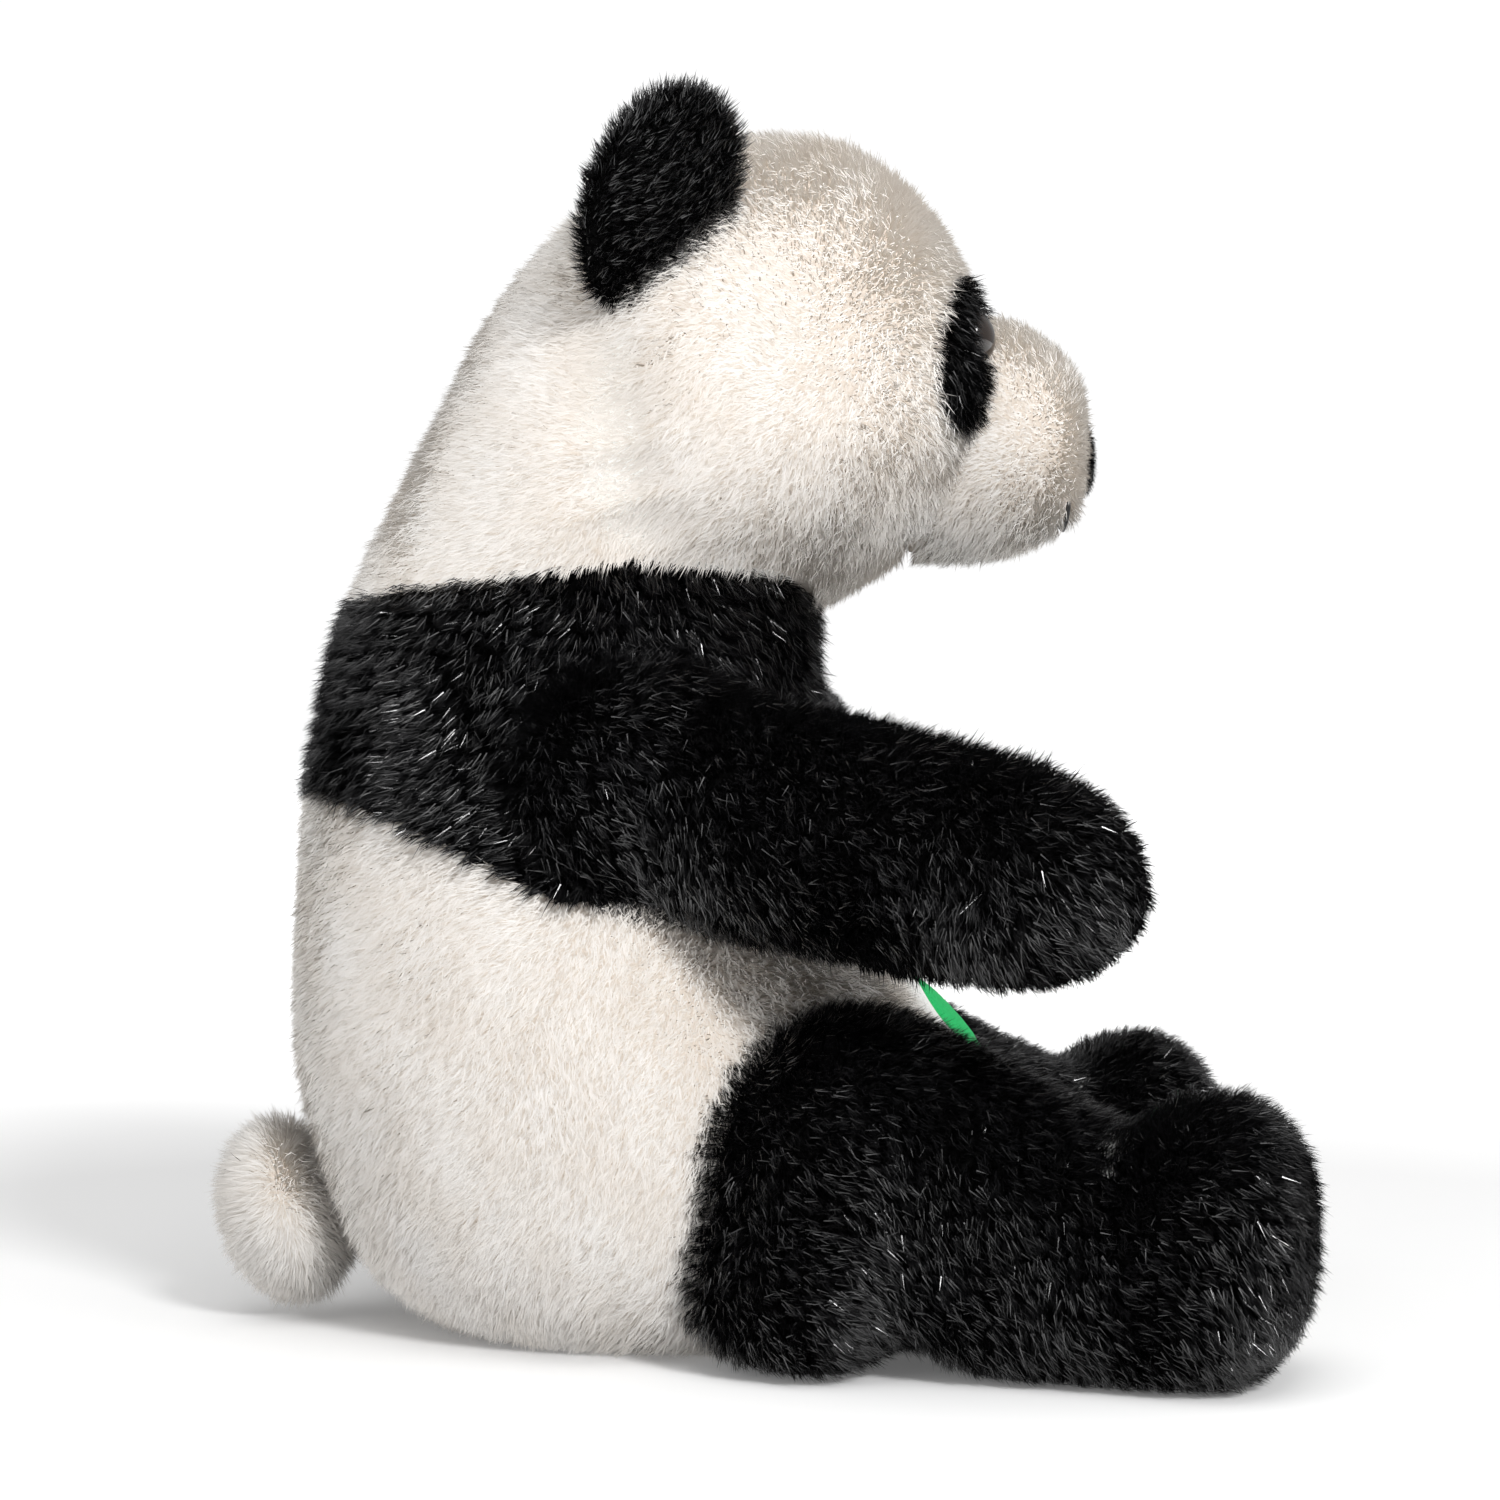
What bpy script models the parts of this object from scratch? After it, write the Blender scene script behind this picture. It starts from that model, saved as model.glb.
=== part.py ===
"""Seated plush panda, 300 mm tall.

The panda sits on the plane z = 0 and faces -Y; its right side is -X. Each cover is a
sewn panel of plush over a core of stuffing. The head, the arms, the legs, the ears and the
tail bend at their sewn joints, and each has an empty on the axis of that joint.
Lengths are written in millimetres and turned into metres by MM.
"""

import math

import bmesh
import bpy
import numpy as np
from mathutils import Matrix, Vector

# --- Driving dimensions ----------------------------------------------------------------------

MM = 0.001

# Cloth and clearances.
COVER = 3.0  # thickness of a plush cover, backing and pile root together
SEAM_GAP = 0.3  # space between two pieces that are sewn face to face
STUFFING_GAP = 1.3  # space between a cover and the stuffing in it
JOINT_GAP = 1.3  # space round a ball of stuffing in its socket
TORSO_COLUMNS = 28  # points round a ring of the torso or the head
LIMB_COLUMNS = 16  # points round a ring of an arm, a leg or the tail
DENSE_ROWS = 90  # rows of a surface before it is cut into panels
ROOM_ROWS = 10  # rows of the room that the torso leaves for a limb

# Neck: the head turns over a dome of stuffing.
NECK_PIVOT = Vector((0, 42, 150))
NECK_RADIUS = 64.0

# Torso profile, from the underside up: height, reach forward, reach back, half width.
TORSO_ROWS = [
    (0, 34, 60, 46),
    (5, 46, 78, 60),
    (14, 55, 91, 68),
    (28, 60, 100, 73),
    (45, 60, 105.5, 75),
    (64, 53, 110, 74),
    (82, 39, 111, 71),
    (100, 26, 110.5, 68),
    (125, 17, 109, 63),
    (152, 15, 104.5, 57),
    (178, 14.5, 98, 51.5),
    (205, 14.5, 86, 46),
]
YOKE_FRONT = 118.0  # height of the lower edge of the black yoke at the chest
YOKE_BACK = 131.0  # the same at the spine
YOKE_DIP = 20.0  # how far that edge dips under the arms
SKIRT_ROWS = 9
BAND_ROWS = 6
TRUNK_ROWS = 11
DOME_ROWS = 6
TRUNK_FIRST_ROW = 1.5  # the dense row where the stuffing begins, clear of the base panel
BASE_SHARE = 0.955  # the base panel's size over the opening that it closes
BASE_THICKNESS = 2.4

# Head profile, from the neck to the crown: height, reach forward, reach back, half width.
HEAD_ROWS = [
    (168, 9, 102, 49),
    (178, 15, 98, 52),
    (184, 25, 95.5, 54),
    (192, 37, 92, 57.5),
    (202, 47, 87, 61),
    (214, 53.5, 81, 63.5),
    (228, 56, 73.5, 64),
    (242, 55.5, 66.5, 62.5),
    (254, 53, 58.5, 59),
    (266, 47.5, 49, 53),
    (276, 40, 38, 45),
    (284, 31, 25, 35),
    (289.5, 22, 10, 22),
    (292.5, 8, -8, 0),
]
# The face is flatter than an oval: the exponent of a ring's front half rises from 2 by this much.
FACE_SQUARENESS = 0.8
FACE_START = 190.0  # height at which it begins to rise
FACE_BLEND = 25.0  # over which it rises
HEAD_PANEL_ROWS = 13
GUSSET_HALF_WIDTH = 18.0
GUSSET_BOTTOM = 222.0
PAST_HEAD = 130.0  # half size of the boxes that cut the head into panels

# Muzzle profile, from inside the head to the tip: reach forward, middle, half height, half width.
MUZZLE_ROWS = [
    (40, 219.5, 29.5, 28),
    (58, 219.5, 29, 29),
    (66, 219.5, 27.5, 28.5),
    (73, 219, 24, 26.5),
    (78, 218, 20, 23),
    (81, 217, 15, 17),
    (82, 216, 0, 0),
]
NOSE_ROWS = [
    (82.5, 214.5, 8.5, 10),
    (84, 214.5, 7.6, 9),
    (85.2, 214.5, 4.5, 5.5),
    (85.6, 214.5, 0, 0),
]
MUZZLE_PANEL_ROWS = 9
MOUTH_REACH = 77.5  # how far forward on the muzzle the mouth lies
MOUTH_TURN = math.radians(42)  # how far it runs up each side from the bottom
MOUTH_THREAD = 0.6  # radius of the stitched thread
MOUTH_POINTS = 13

# A pad's middle is (x, height); its tilt turns its lower end outwards.
EYE_PATCH = {"middle": (33, 237), "half_width": 13, "half_height": 19, "tilt": math.radians(24)}
EYE_PATCH_THICKNESS = 2.4
PAD_RINGS = 5  # rings of points from a pad's middle to its rim
EYE_MIDDLE = (28, 242)
EYE_RADIUS = 6.0
EYE_DOME = 4.4
EYE_COLUMNS = 18
SHANK_RADIUS = 1.6
SHANK_LENGTH = 13.5
WASHER_RADIUS = 7.5
WASHER_THICKNESS = 1.2
WASHER_DEPTH = 8.4  # below the eye's seat, inside the head's cover
BORE_ABOVE = 8.0  # how far the room for an eye's shank starts above its seat
POCKET_ABOVE = 6.0  # the same for the room round its washer
BORE_BELOW = 2.0  # how far both rooms reach past what they hold

BELLY_PATCH = {"middle": (0, 75), "half_width": 17, "half_height": 12, "tilt": 0.0}
BELLY_PATCH_THICKNESS = 1.2

# Ears: flat ovals that stand on the sides of the head.
EAR_ROOT = Vector((53, 29, 251.5))
EAR_HALF = (17.5, 6.0, 26.0)  # half width, half thickness, half height
EAR_RISE = 20.0  # from the root to the middle of the ear
EAR_LEAN_OUT = math.radians(9)
EAR_LEAN_FORWARD = math.radians(20)
EAR_TURN = math.radians(62)
EAR_CLEARANCE = 2.2  # between an ear and the head, so that the ear can fold
EAR_PANEL_ROWS = 9
EAR_CUT = 90.0  # half size of the boxes that cut an ear into its front and back

# Arms: a round shoulder, then a sleeve that ends in a paw. Distance from the pivot, radius.
SHOULDER = Vector((42, 28, 132))
SHOULDER_RADIUS = 34.0
SLEEVE_START = 16.0  # where the round shoulder ends and the sleeve begins
ARM_ROWS = [
    (24, 26.6),
    (45, 26),
    (70, 25),
    (92, 24),
    (109, 22),
    (121.5, 17),
    (129.5, 9),
    (133, 0),
]
ARM_FLATTEN = 0.9  # the sleeve's width over its height
ARM_FLATTEN_LENGTH = 25.0  # over which the round shoulder turns into the flatter sleeve
ARM_PANEL_ROWS = 11
ARM_TURN = {"right": math.radians(32), "left": math.radians(70)}  # away from straight ahead
ARM_DROP = {"right": math.radians(9.9), "left": math.radians(-5)}  # below level
ARM_SWINGS = [math.radians(swing) for swing in (-5.5, 8, 18, 28.5)]  # upwards from rest
ARM_ROOM_SHARE = 0.8  # part of the arm's rows that can come near the torso

# Legs: a round hip, then a shin and an upright foot. Distance, bottom, top, half width.
HIP = Vector((56, -25, 43))
HIP_RADIUS = 37.5
THIGH_START = 12.0  # where the round hip ends and the thigh begins
LEG_ROWS = [
    (20, 7, 75, 32.5),
    (34, 1, 68, 31),
    (50, 0, 60.5, 29.5),
    (64, 0, 55.5, 29.5),
    (78, 0, 61.5, 31.5),
    (89, 2, 62.5, 31),
    (96.5, 8, 58, 28),
    (101.5, 17, 49.5, 21),
    (103.5, 32, 32, 0),
]
LEG_TURN = math.radians(17.7)
LEG_SWINGS = [math.radians(swing) for swing in (-5.5, 0, 10, 20)]  # outwards from rest
LEG_ROOM_SHARE = 0.75  # part of the leg's rows that can come near the torso
LEG_PANEL_ROWS = 12
SOLE_DISTANCE = 96.0  # from the hip to the seam of the foot's sole
SOLE_FIRST_ROW = 6  # the first of the leg's rows that the sole is cut from
ROOM_MARGIN = 60.0  # how far the rooms of the foot's two pieces reach past them

# Tail: a ball on a short root. Distance from the pivot, radius.
TAIL_PIVOT = Vector((0, 99, 32))
TAIL_DROP = math.radians(16)  # below level, square to the back of the torso
TAIL_ROWS = [
    (-6, 0),
    (-3.5, 5),
    (0, 7),
    (4, 8),
    (7, 12),
    (11.5, 17.5),
    (17, 19.5),
    (23, 17),
    (27.5, 11),
    (29.5, 0),
]
TAIL_SOCKET_RADIUS = 10.0
TAIL_SOCKET_FACES = (16, 8)  # segments and rings of the socket's ball
TAIL_PANEL_ROWS = 9
TAIL_HOLLOW_ROW = 12  # the dense row where the space inside the tail's cover begins
TAIL_CORE_ROW = 28  # the dense row where its stuffing begins

LABEL_SIZE = (24, 11, 0.5)
LABEL_MIDDLE = (-66, -16, 0.6)

# Name, colour and roughness of each finish.
WHITE_PLUSH = ("white_plush", (0.83, 0.77, 0.70), 0.95)
BLACK_PLUSH = ("black_plush", (0.012, 0.011, 0.012), 0.7)
STUFFING = ("stuffing", (0.92, 0.92, 0.90), 1.0)
GREEN_FELT = ("green_felt", (0.03, 0.55, 0.16), 0.9)
LABEL_SATIN = ("label_satin", (0.62, 0.62, 0.64), 0.45)
EYE_PLASTIC = ("eye_plastic", (0.02, 0.012, 0.008), 0.08)
WASHER_PLASTIC = ("washer_plastic", (0.9, 0.9, 0.88), 0.5)
THREAD = ("black_thread", (0.015, 0.015, 0.015), 0.6)


# --- Surfaces as grids of points -------------------------------------------------------------


def smooth_columns(rows, count):
    """Every column of rows at count even steps along them, on a smooth curve through the rows."""
    rows = np.array(rows, float)
    slopes = np.gradient(rows, axis=0)
    at = np.linspace(0, len(rows) - 1, count)
    low = np.minimum(at.astype(int), len(rows) - 2)
    t = (at - low)[:, None]
    start, end = rows[low], rows[low + 1]
    rise = (t**3 - 2 * t**2 + t) * slopes[low] + (t**3 - t**2) * slopes[low + 1]
    return start + (3 * t**2 - 2 * t**3) * (end - start) + rise


def round_angles(columns):
    return np.arange(columns) * 2 * math.pi / columns


def oval_power(height):
    """The exponent of an oval's front half: 2 is an ellipse."""
    return 2 + 0 * height


def face_power(height):
    """The same for a ring of the head, which is squarer at the face than at the neck."""
    return 2 + FACE_SQUARENESS * np.clip((height - FACE_START) / FACE_BLEND, 0, 1)


def level_rings(rows, columns, front_power=oval_power):
    """Oval rings, one above another. Column 0 faces forward, and a quarter turn is +X."""
    height, front, back, half_width = smooth_columns(rows, DENSE_ROWS).T[:, :, None]
    angle = round_angles(columns)
    sine, cosine = np.sin(angle), np.cos(angle)
    share = np.where(cosine > 0, 2 / front_power(height), 1)
    sine, cosine = (np.sign(turn) * np.abs(turn) ** share for turn in (sine, cosine))
    reach = (front - back) / 2 + (front + back) / 2 * cosine
    return np.stack([np.maximum(half_width, 0) * sine, -reach, height + 0 * angle], axis=2)


def forward_rings(rows, columns):
    """Oval rings along -Y, from (reach, middle, half height, half width). Column 0 is on top."""
    reach, middle, half_height, half_width = smooth_columns(rows, DENSE_ROWS).T[:, :, None]
    angle = round_angles(columns)
    x = np.maximum(half_width, 0) * np.sin(angle)
    z = middle + np.maximum(half_height, 0) * np.cos(angle)
    return np.stack([x, -reach + 0 * angle, z], axis=2)


def moved_out(grid, distance):
    """The closed grid moved along its own normals, outwards where distance is above zero."""
    along = np.gradient(grid, axis=0)
    around = np.roll(grid, -1, axis=1) - np.roll(grid, 1, axis=1)
    normal = np.cross(along, around)
    length = np.linalg.norm(normal, axis=2, keepdims=True)
    normal = normal / np.maximum(length, 1e-9)
    for end, beside in ((0, 1), (-1, -2)):
        if np.ptp(grid[end], axis=0).max() < 1e-6:
            mean = normal[beside].mean(axis=0)
            normal[end] = mean / np.linalg.norm(mean)
    from_middle = grid - grid.mean(axis=(0, 1))
    if (normal * from_middle).sum() < 0:
        normal = -normal
    return grid + normal * distance


def rows_between(grid, first, last, count):
    """The grid again in count rows, from row first to row last. Each may differ by column."""
    columns = np.arange(grid.shape[1])
    share = np.linspace(0, 1, count)[:, None]
    at = first + (last - first) * share
    low = np.clip(at.astype(int), 0, len(grid) - 2)
    t = (at - low)[:, :, None]
    return grid[low, columns] * (1 - t) + grid[low + 1, columns] * t


def row_at_height(grid, heights):
    """For each column, the row number at which the grid reaches that height."""
    numbers = np.arange(len(grid))
    return np.array([np.interp(h, grid[:, i, 2], numbers) for i, h in enumerate(heights)])


def row_leaving_ball(grid, middle, radius):
    """For each column, the row number at which the grid leaves a ball for the last time."""
    distance = np.linalg.norm(grid - np.array(middle), axis=2)
    found = []
    for column in distance.T:
        inside = np.nonzero(column < radius)[0][-1]
        step = (radius - column[inside]) / (column[inside + 1] - column[inside])
        found.append(inside + step)
    return np.array(found)


# --- Solids and objects ----------------------------------------------------------------------


def material_of(finish):
    name, colour, roughness = finish
    material = bpy.data.materials.get(name)
    if material is None:
        material = bpy.data.materials.new(name)
        material.use_nodes = True
        shader = material.node_tree.nodes["Principled BSDF"]
        shader.inputs["Base Color"].default_value = (*colour, 1)
        shader.inputs["Roughness"].default_value = roughness
    return material


def add_object(name, mesh, finish=None, parent=None):
    """A finished piece, or a hidden cutter if it has no finish."""
    piece = bpy.data.objects.new(name, mesh)
    bpy.context.scene.collection.objects.link(piece)
    if finish:
        mesh.materials.append(material_of(finish))
        mesh.shade_smooth()
        mesh.set_sharp_from_angle(angle=math.radians(40))
    else:
        piece.hide_render = True
        piece.display_type = "WIRE"
    if parent:
        piece.parent = parent
    return piece


def add_empty(name, location, rotation=None):
    empty = bpy.data.objects.new(name, None)
    bpy.context.scene.collection.objects.link(empty)
    turn = rotation.to_4x4() if rotation else Matrix()
    empty.matrix_world = Matrix.Translation(Vector(location) * MM) @ turn
    return empty


def grid_faces(rows, columns, first=0, closed=False):
    """Quads over a grid whose points are numbered by rows from first."""
    faces = []
    for i in range(rows - 1):
        for j in range(columns if closed else columns - 1):
            k = (j + 1) % columns
            corner = first + i * columns
            faces.append((corner + j, corner + k, corner + columns + k, corner + columns + j))
    return faces


def closed_mesh(name, points, faces):
    """A mesh in metres with doubled points merged and its faces turned outwards."""
    mesh = bpy.data.meshes.new(name)
    build = bmesh.new()
    corners = [build.verts.new(Vector(point) * MM) for point in points]
    for face in faces:
        build.faces.new([corners[i] for i in face])
    bmesh.ops.remove_doubles(build, verts=build.verts, dist=1e-6)
    bmesh.ops.recalc_face_normals(build, faces=build.faces)
    build.to_mesh(mesh)
    build.free()
    return mesh


def is_point(ring):
    return np.ptp(ring, axis=0).max() < 1e-6


def solid_mesh(name, grid):
    """A closed ring grid made solid, with a fan over each end that isn't a point."""
    rows, columns, _ = grid.shape
    points = list(grid.reshape(-1, 3))
    faces = grid_faces(rows, columns, closed=True)
    for end in (0, rows - 1):
        if is_point(grid[end]):
            continue
        points.append(grid[end].mean(axis=0))
        start = end * columns
        faces += [(start + j, start + (j + 1) % columns, len(points) - 1) for j in range(columns)]
    return closed_mesh(name, points, faces)


def panel_mesh(name, outer, inner):
    """A panel with thickness between two open grids of the same size."""
    rows, columns, _ = outer.shape
    size = rows * columns
    points = np.concatenate([outer.reshape(-1, 3), inner.reshape(-1, 3)])
    faces = grid_faces(rows, columns) + grid_faces(rows, columns, size)
    number = np.arange(size).reshape(rows, columns)
    for edge in (number[0], number[-1], number[:, 0], number[:, -1]):
        if is_point(points[edge]) and is_point(points[edge + size]):
            continue
        for a, b in zip(edge[:-1], edge[1:]):
            faces.append((a, b, b + size, a + size))
    return closed_mesh(name, points, faces)


def cup_mesh(name, outer, inner):
    """A cover open at its first row and closed at its last."""
    rows, columns, _ = outer.shape
    size = rows * columns
    points = np.concatenate([outer.reshape(-1, 3), inner.reshape(-1, 3)])
    faces = grid_faces(rows, columns, closed=True) + grid_faces(rows, columns, size, closed=True)
    for j in range(columns):
        k = (j + 1) % columns
        faces.append((j, k, k + size, j + size))
    return closed_mesh(name, points, faces)


def swept_hull_mesh(name, grid, turns):
    """The convex hull of the grid's points at each of the turns given, as 3 by 3 matrices."""
    build = bmesh.new()
    for turn in turns:
        for point in grid.reshape(-1, 3):
            build.verts.new(turn @ Vector(point) * MM)
    hull = bmesh.ops.convex_hull(build, input=build.verts)
    unused = {item for item in hull["geom_interior"] if isinstance(item, bmesh.types.BMVert)}
    bmesh.ops.delete(build, geom=list(unused), context="VERTS")
    bmesh.ops.recalc_face_normals(build, faces=build.faces)
    mesh = bpy.data.meshes.new(name)
    build.to_mesh(mesh)
    build.free()
    return mesh


def box_mesh(name, low, high):
    mesh = bpy.data.meshes.new(name)
    build = bmesh.new()
    bmesh.ops.create_cube(build, size=1)
    size = (Vector(high) - Vector(low)) * MM
    middle = (Vector(high) + Vector(low)) * MM / 2
    bmesh.ops.scale(build, vec=size, verts=build.verts)
    bmesh.ops.translate(build, vec=middle, verts=build.verts)
    build.to_mesh(mesh)
    build.free()
    return mesh


def ball_mesh(name, radius, segments, rings):
    mesh = bpy.data.meshes.new(name)
    build = bmesh.new()
    bmesh.ops.create_uvsphere(build, u_segments=segments, v_segments=rings, radius=radius * MM)
    build.to_mesh(mesh)
    build.free()
    return mesh


def turned_mesh(name, profile, columns):
    """A solid of revolution about Z, from (radius, height) points that start and end on the axis."""
    angle = round_angles(columns)[None, :]
    radius, height = np.array(profile, float).T[:, :, None]
    grid = np.stack([radius * np.cos(angle), radius * np.sin(angle), height + 0 * angle], axis=2)
    return solid_mesh(name, grid)


def carve(piece, cutter, operation="DIFFERENCE"):
    boolean = piece.modifiers.new(cutter.name, "BOOLEAN")
    boolean.operation = operation
    boolean.solver = "EXACT"
    boolean.object = cutter


def halves(outer, inner):
    """The two halves of a closed ring grid as (side, outer, inner), moved apart by the seam gap."""
    columns = outer.shape[1]
    half = columns // 2
    first = np.arange(half + 1)
    second = np.arange(half, columns + 1) % columns
    shift = np.array([SEAM_GAP / 2, 0, 0])
    yield 1, outer[:, first] + shift, inner[:, first] + shift
    yield -1, outer[:, second] - shift, inner[:, second] - shift


SIDE_NAME = {1: "left", -1: "right"}


def pad_mesh(name, pad, surface, gap, thickness):
    """An oval pad that lies on surface(x, z) and is as thick as given, along -Y."""
    rim = round_angles(LIMB_COLUMNS)[None, :]
    spread = np.linspace(0, 1, PAD_RINGS)[:, None]
    across = pad["half_width"] * spread * np.sin(rim)
    up = pad["half_height"] * spread * np.cos(rim)
    x = pad["middle"][0] + across * math.cos(pad["tilt"]) - up * math.sin(pad["tilt"])
    z = pad["middle"][1] + across * math.sin(pad["tilt"]) + up * math.cos(pad["tilt"])
    back = np.stack([x, surface(x, z) - gap, z], axis=2)
    front = back[::-1] + np.array([0, -thickness, 0])
    return solid_mesh(name, np.concatenate([back, front]))


def front_of(rows, front_power=oval_power):
    """surface(x, z): where the front of a stack of oval rings stands."""
    height, front, back, half_width = smooth_columns(rows, DENSE_ROWS).T

    def surface(x, z):
        forward = np.interp(z, height, front)
        behind = np.interp(z, height, back)
        half = np.interp(z, height, half_width)
        middle = (forward - behind) / 2
        power = front_power(z)
        across = np.minimum(np.abs(x / half), 1)
        return -(middle + (forward + behind) / 2 * (1 - across**power) ** (1 / power))

    return surface


# --- Clear the scene -------------------------------------------------------------------------

for old in list(bpy.data.objects):
    bpy.data.objects.remove(old, do_unlink=True)


def mirrored(point, side):
    return Vector((point.x * side, point.y, point.z))


# --- Legs ------------------------------------------------------------------------------------


def ball_rows(radius, start):
    """(distance, radius) rows of a ball about the pivot, from its far side up to the distance start."""
    behind = np.linspace(math.pi, math.pi / 2, 6)
    ahead = np.linspace(math.pi / 2, math.acos(start / radius), 3)[1:]
    return [(radius * math.cos(a), radius * math.sin(a)) for a in (*behind, *ahead)]


leg_root = ball_rows(HIP_RADIUS, THIGH_START)
leg_rows = [(d, 0, r, r) for d, r in leg_root]
leg_rows += [(d, (low + high) / 2 - HIP.z, (high - low) / 2, half) for d, low, high, half in LEG_ROWS]
leg_outer = forward_rings(leg_rows, LIMB_COLUMNS)
leg_outer[:, :, 2] = np.maximum(leg_outer[:, :, 2], -HIP.z)
leg_inner = moved_out(leg_outer, -COVER)
leg_core = moved_out(leg_outer, -COVER - STUFFING_GAP)
leg_wide = moved_out(leg_outer, JOINT_GAP)
leg_end = len(leg_outer) - 1

# The torso is cleared for the leg over its whole swing, as one convex room.
leg_room = rows_between(leg_wide, 0, leg_end * LEG_ROOM_SHARE, ROOM_ROWS)
leg_rooms = {}
for side in (1, -1):
    name = SIDE_NAME[side]
    turn = Matrix.Rotation(LEG_TURN * side, 3, "Z")
    pivot = add_empty(f"leg_{name}_pivot", mirrored(HIP, side), turn)
    swings = [Matrix.Rotation(swing * side, 3, "Z") for swing in LEG_SWINGS]
    leg_rooms[side] = add_object(
        f"cut_leg_{name}", swept_hull_mesh("leg_room", leg_room, swings), parent=pivot
    )
    seam_front = -SOLE_DISTANCE - SEAM_GAP / 2
    seam_back = -SOLE_DISTANCE + SEAM_GAP / 2
    sole_box = box_mesh(
        "sole_room",
        (-ROOM_MARGIN, -SOLE_DISTANCE - ROOM_MARGIN, -ROOM_MARGIN),
        (ROOM_MARGIN, seam_back, ROOM_MARGIN),
    )
    shin_box = box_mesh(
        "shin_room", (-ROOM_MARGIN, seam_front, -ROOM_MARGIN), (ROOM_MARGIN, ROOM_MARGIN, ROOM_MARGIN)
    )
    sole_room = add_object(f"cut_sole_room_{name}", sole_box, parent=pivot)
    shin_room = add_object(f"cut_shin_room_{name}", shin_box, parent=pivot)
    outer = rows_between(leg_outer, 0, leg_end, LEG_PANEL_ROWS)
    inner = rows_between(leg_inner, 0, leg_end, LEG_PANEL_ROWS)
    for seam_side, half_outer, half_inner in halves(outer, inner):
        face = "outer" if seam_side == side else "inner"
        cover = add_object(
            f"leg_{name}_{face}", panel_mesh("leg_panel", half_outer, half_inner), BLACK_PLUSH, pivot
        )
        carve(cover, sole_room)
    sole_mesh = cup_mesh("sole", outer[SOLE_FIRST_ROW:], inner[SOLE_FIRST_ROW:])
    sole = add_object(f"foot_sole_{name}", sole_mesh, BLACK_PLUSH, pivot)
    carve(sole, shin_room)
    core = rows_between(leg_core, 0, leg_end, LEG_PANEL_ROWS)
    add_object(f"leg_{name}_stuffing", solid_mesh("leg_stuffing", core), STUFFING, pivot)


# --- Arms ------------------------------------------------------------------------------------

arm_rows = [(d, 0, r, r) for d, r in ball_rows(SHOULDER_RADIUS, SLEEVE_START) + ARM_ROWS]
arm_outer = forward_rings(arm_rows, LIMB_COLUMNS)
sleeve_share = np.clip((-arm_outer[:, :, 1] - SLEEVE_START) / ARM_FLATTEN_LENGTH, 0, 1)
flatten = 1 - (1 - ARM_FLATTEN) * sleeve_share
arm_outer[:, :, 0] *= flatten
arm_inner = moved_out(arm_outer, -COVER)
arm_core = moved_out(arm_outer, -COVER - STUFFING_GAP)
arm_wide = moved_out(arm_outer, JOINT_GAP)
arm_end = len(arm_outer) - 1
arm_room = rows_between(arm_wide, 0, arm_end * ARM_ROOM_SHARE, ROOM_ROWS)
arm_rooms = {}

for side in (1, -1):
    name = SIDE_NAME[side]
    turn = Matrix.Rotation(ARM_TURN[name] * side, 3, "Z") @ Matrix.Rotation(ARM_DROP[name], 3, "X")
    pivot = add_empty(f"arm_{name}_pivot", mirrored(SHOULDER, side), turn)
    swings = [Matrix.Rotation(-swing, 3, "X") for swing in ARM_SWINGS]
    arm_rooms[side] = add_object(
        f"cut_arm_{name}", swept_hull_mesh("arm_room", arm_room, swings), parent=pivot
    )
    outer = rows_between(arm_outer, 0, arm_end, ARM_PANEL_ROWS)
    inner = rows_between(arm_inner, 0, arm_end, ARM_PANEL_ROWS)
    for seam_side, half_outer, half_inner in halves(outer, inner):
        face = "outer" if seam_side == side else "inner"
        add_object(f"arm_{name}_{face}", panel_mesh("arm_panel", half_outer, half_inner), BLACK_PLUSH, pivot)
    core = rows_between(arm_core, 0, arm_end, ARM_PANEL_ROWS)
    add_object(f"arm_{name}_stuffing", solid_mesh("arm_stuffing", core), STUFFING, pivot)


# --- Torso -----------------------------------------------------------------------------------

torso_outer = level_rings(TORSO_ROWS, TORSO_COLUMNS)
torso_inner = moved_out(torso_outer, -COVER)
torso_core = moved_out(torso_outer, -COVER - STUFFING_GAP)
angle = round_angles(TORSO_COLUMNS)
yoke_edge = YOKE_FRONT + (YOKE_BACK - YOKE_FRONT) * (1 - np.cos(angle)) / 2
yoke_edge -= YOKE_DIP * np.sin(angle) ** 2


def neck_cap(rim, radius):
    """Rings on a ball about the neck's pivot, from just above the rim's directions to its top."""
    way = rim - np.array(NECK_PIVOT)
    rim_tilt = np.arccos(way[:, 2] / np.linalg.norm(way, axis=1))
    heading = np.arctan2(way[:, 1], way[:, 0])
    tilt = rim_tilt * np.linspace(1, 0, DOME_ROWS)[1:, None]
    level = np.sin(tilt)
    ring = np.stack([level * np.cos(heading), level * np.sin(heading), np.cos(tilt)], axis=2)
    return np.array(NECK_PIVOT) + radius * ring


bottom_row = 0.0 * angle
skirt = [
    rows_between(grid, bottom_row, row_at_height(grid, yoke_edge - SEAM_GAP / 2), SKIRT_ROWS)
    for grid in (torso_outer, torso_inner)
]
band = [
    rows_between(
        grid,
        row_at_height(grid, yoke_edge + SEAM_GAP / 2),
        row_leaving_ball(grid, NECK_PIVOT, NECK_RADIUS - SEAM_GAP),
        BAND_ROWS,
    )
    for grid in (torso_outer, torso_inner)
]
for label, (outer, inner), finish in (
    ("torso_cover", skirt, WHITE_PLUSH),
    ("yoke", band, BLACK_PLUSH),
):
    for side, half_outer, half_inner in halves(outer, inner):
        cover = add_object(f"{label}_{SIDE_NAME[side]}", panel_mesh(label, half_outer, half_inner), finish)
        carve(cover, arm_rooms[side])
        if label == "torso_cover":
            carve(cover, leg_rooms[side])

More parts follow.
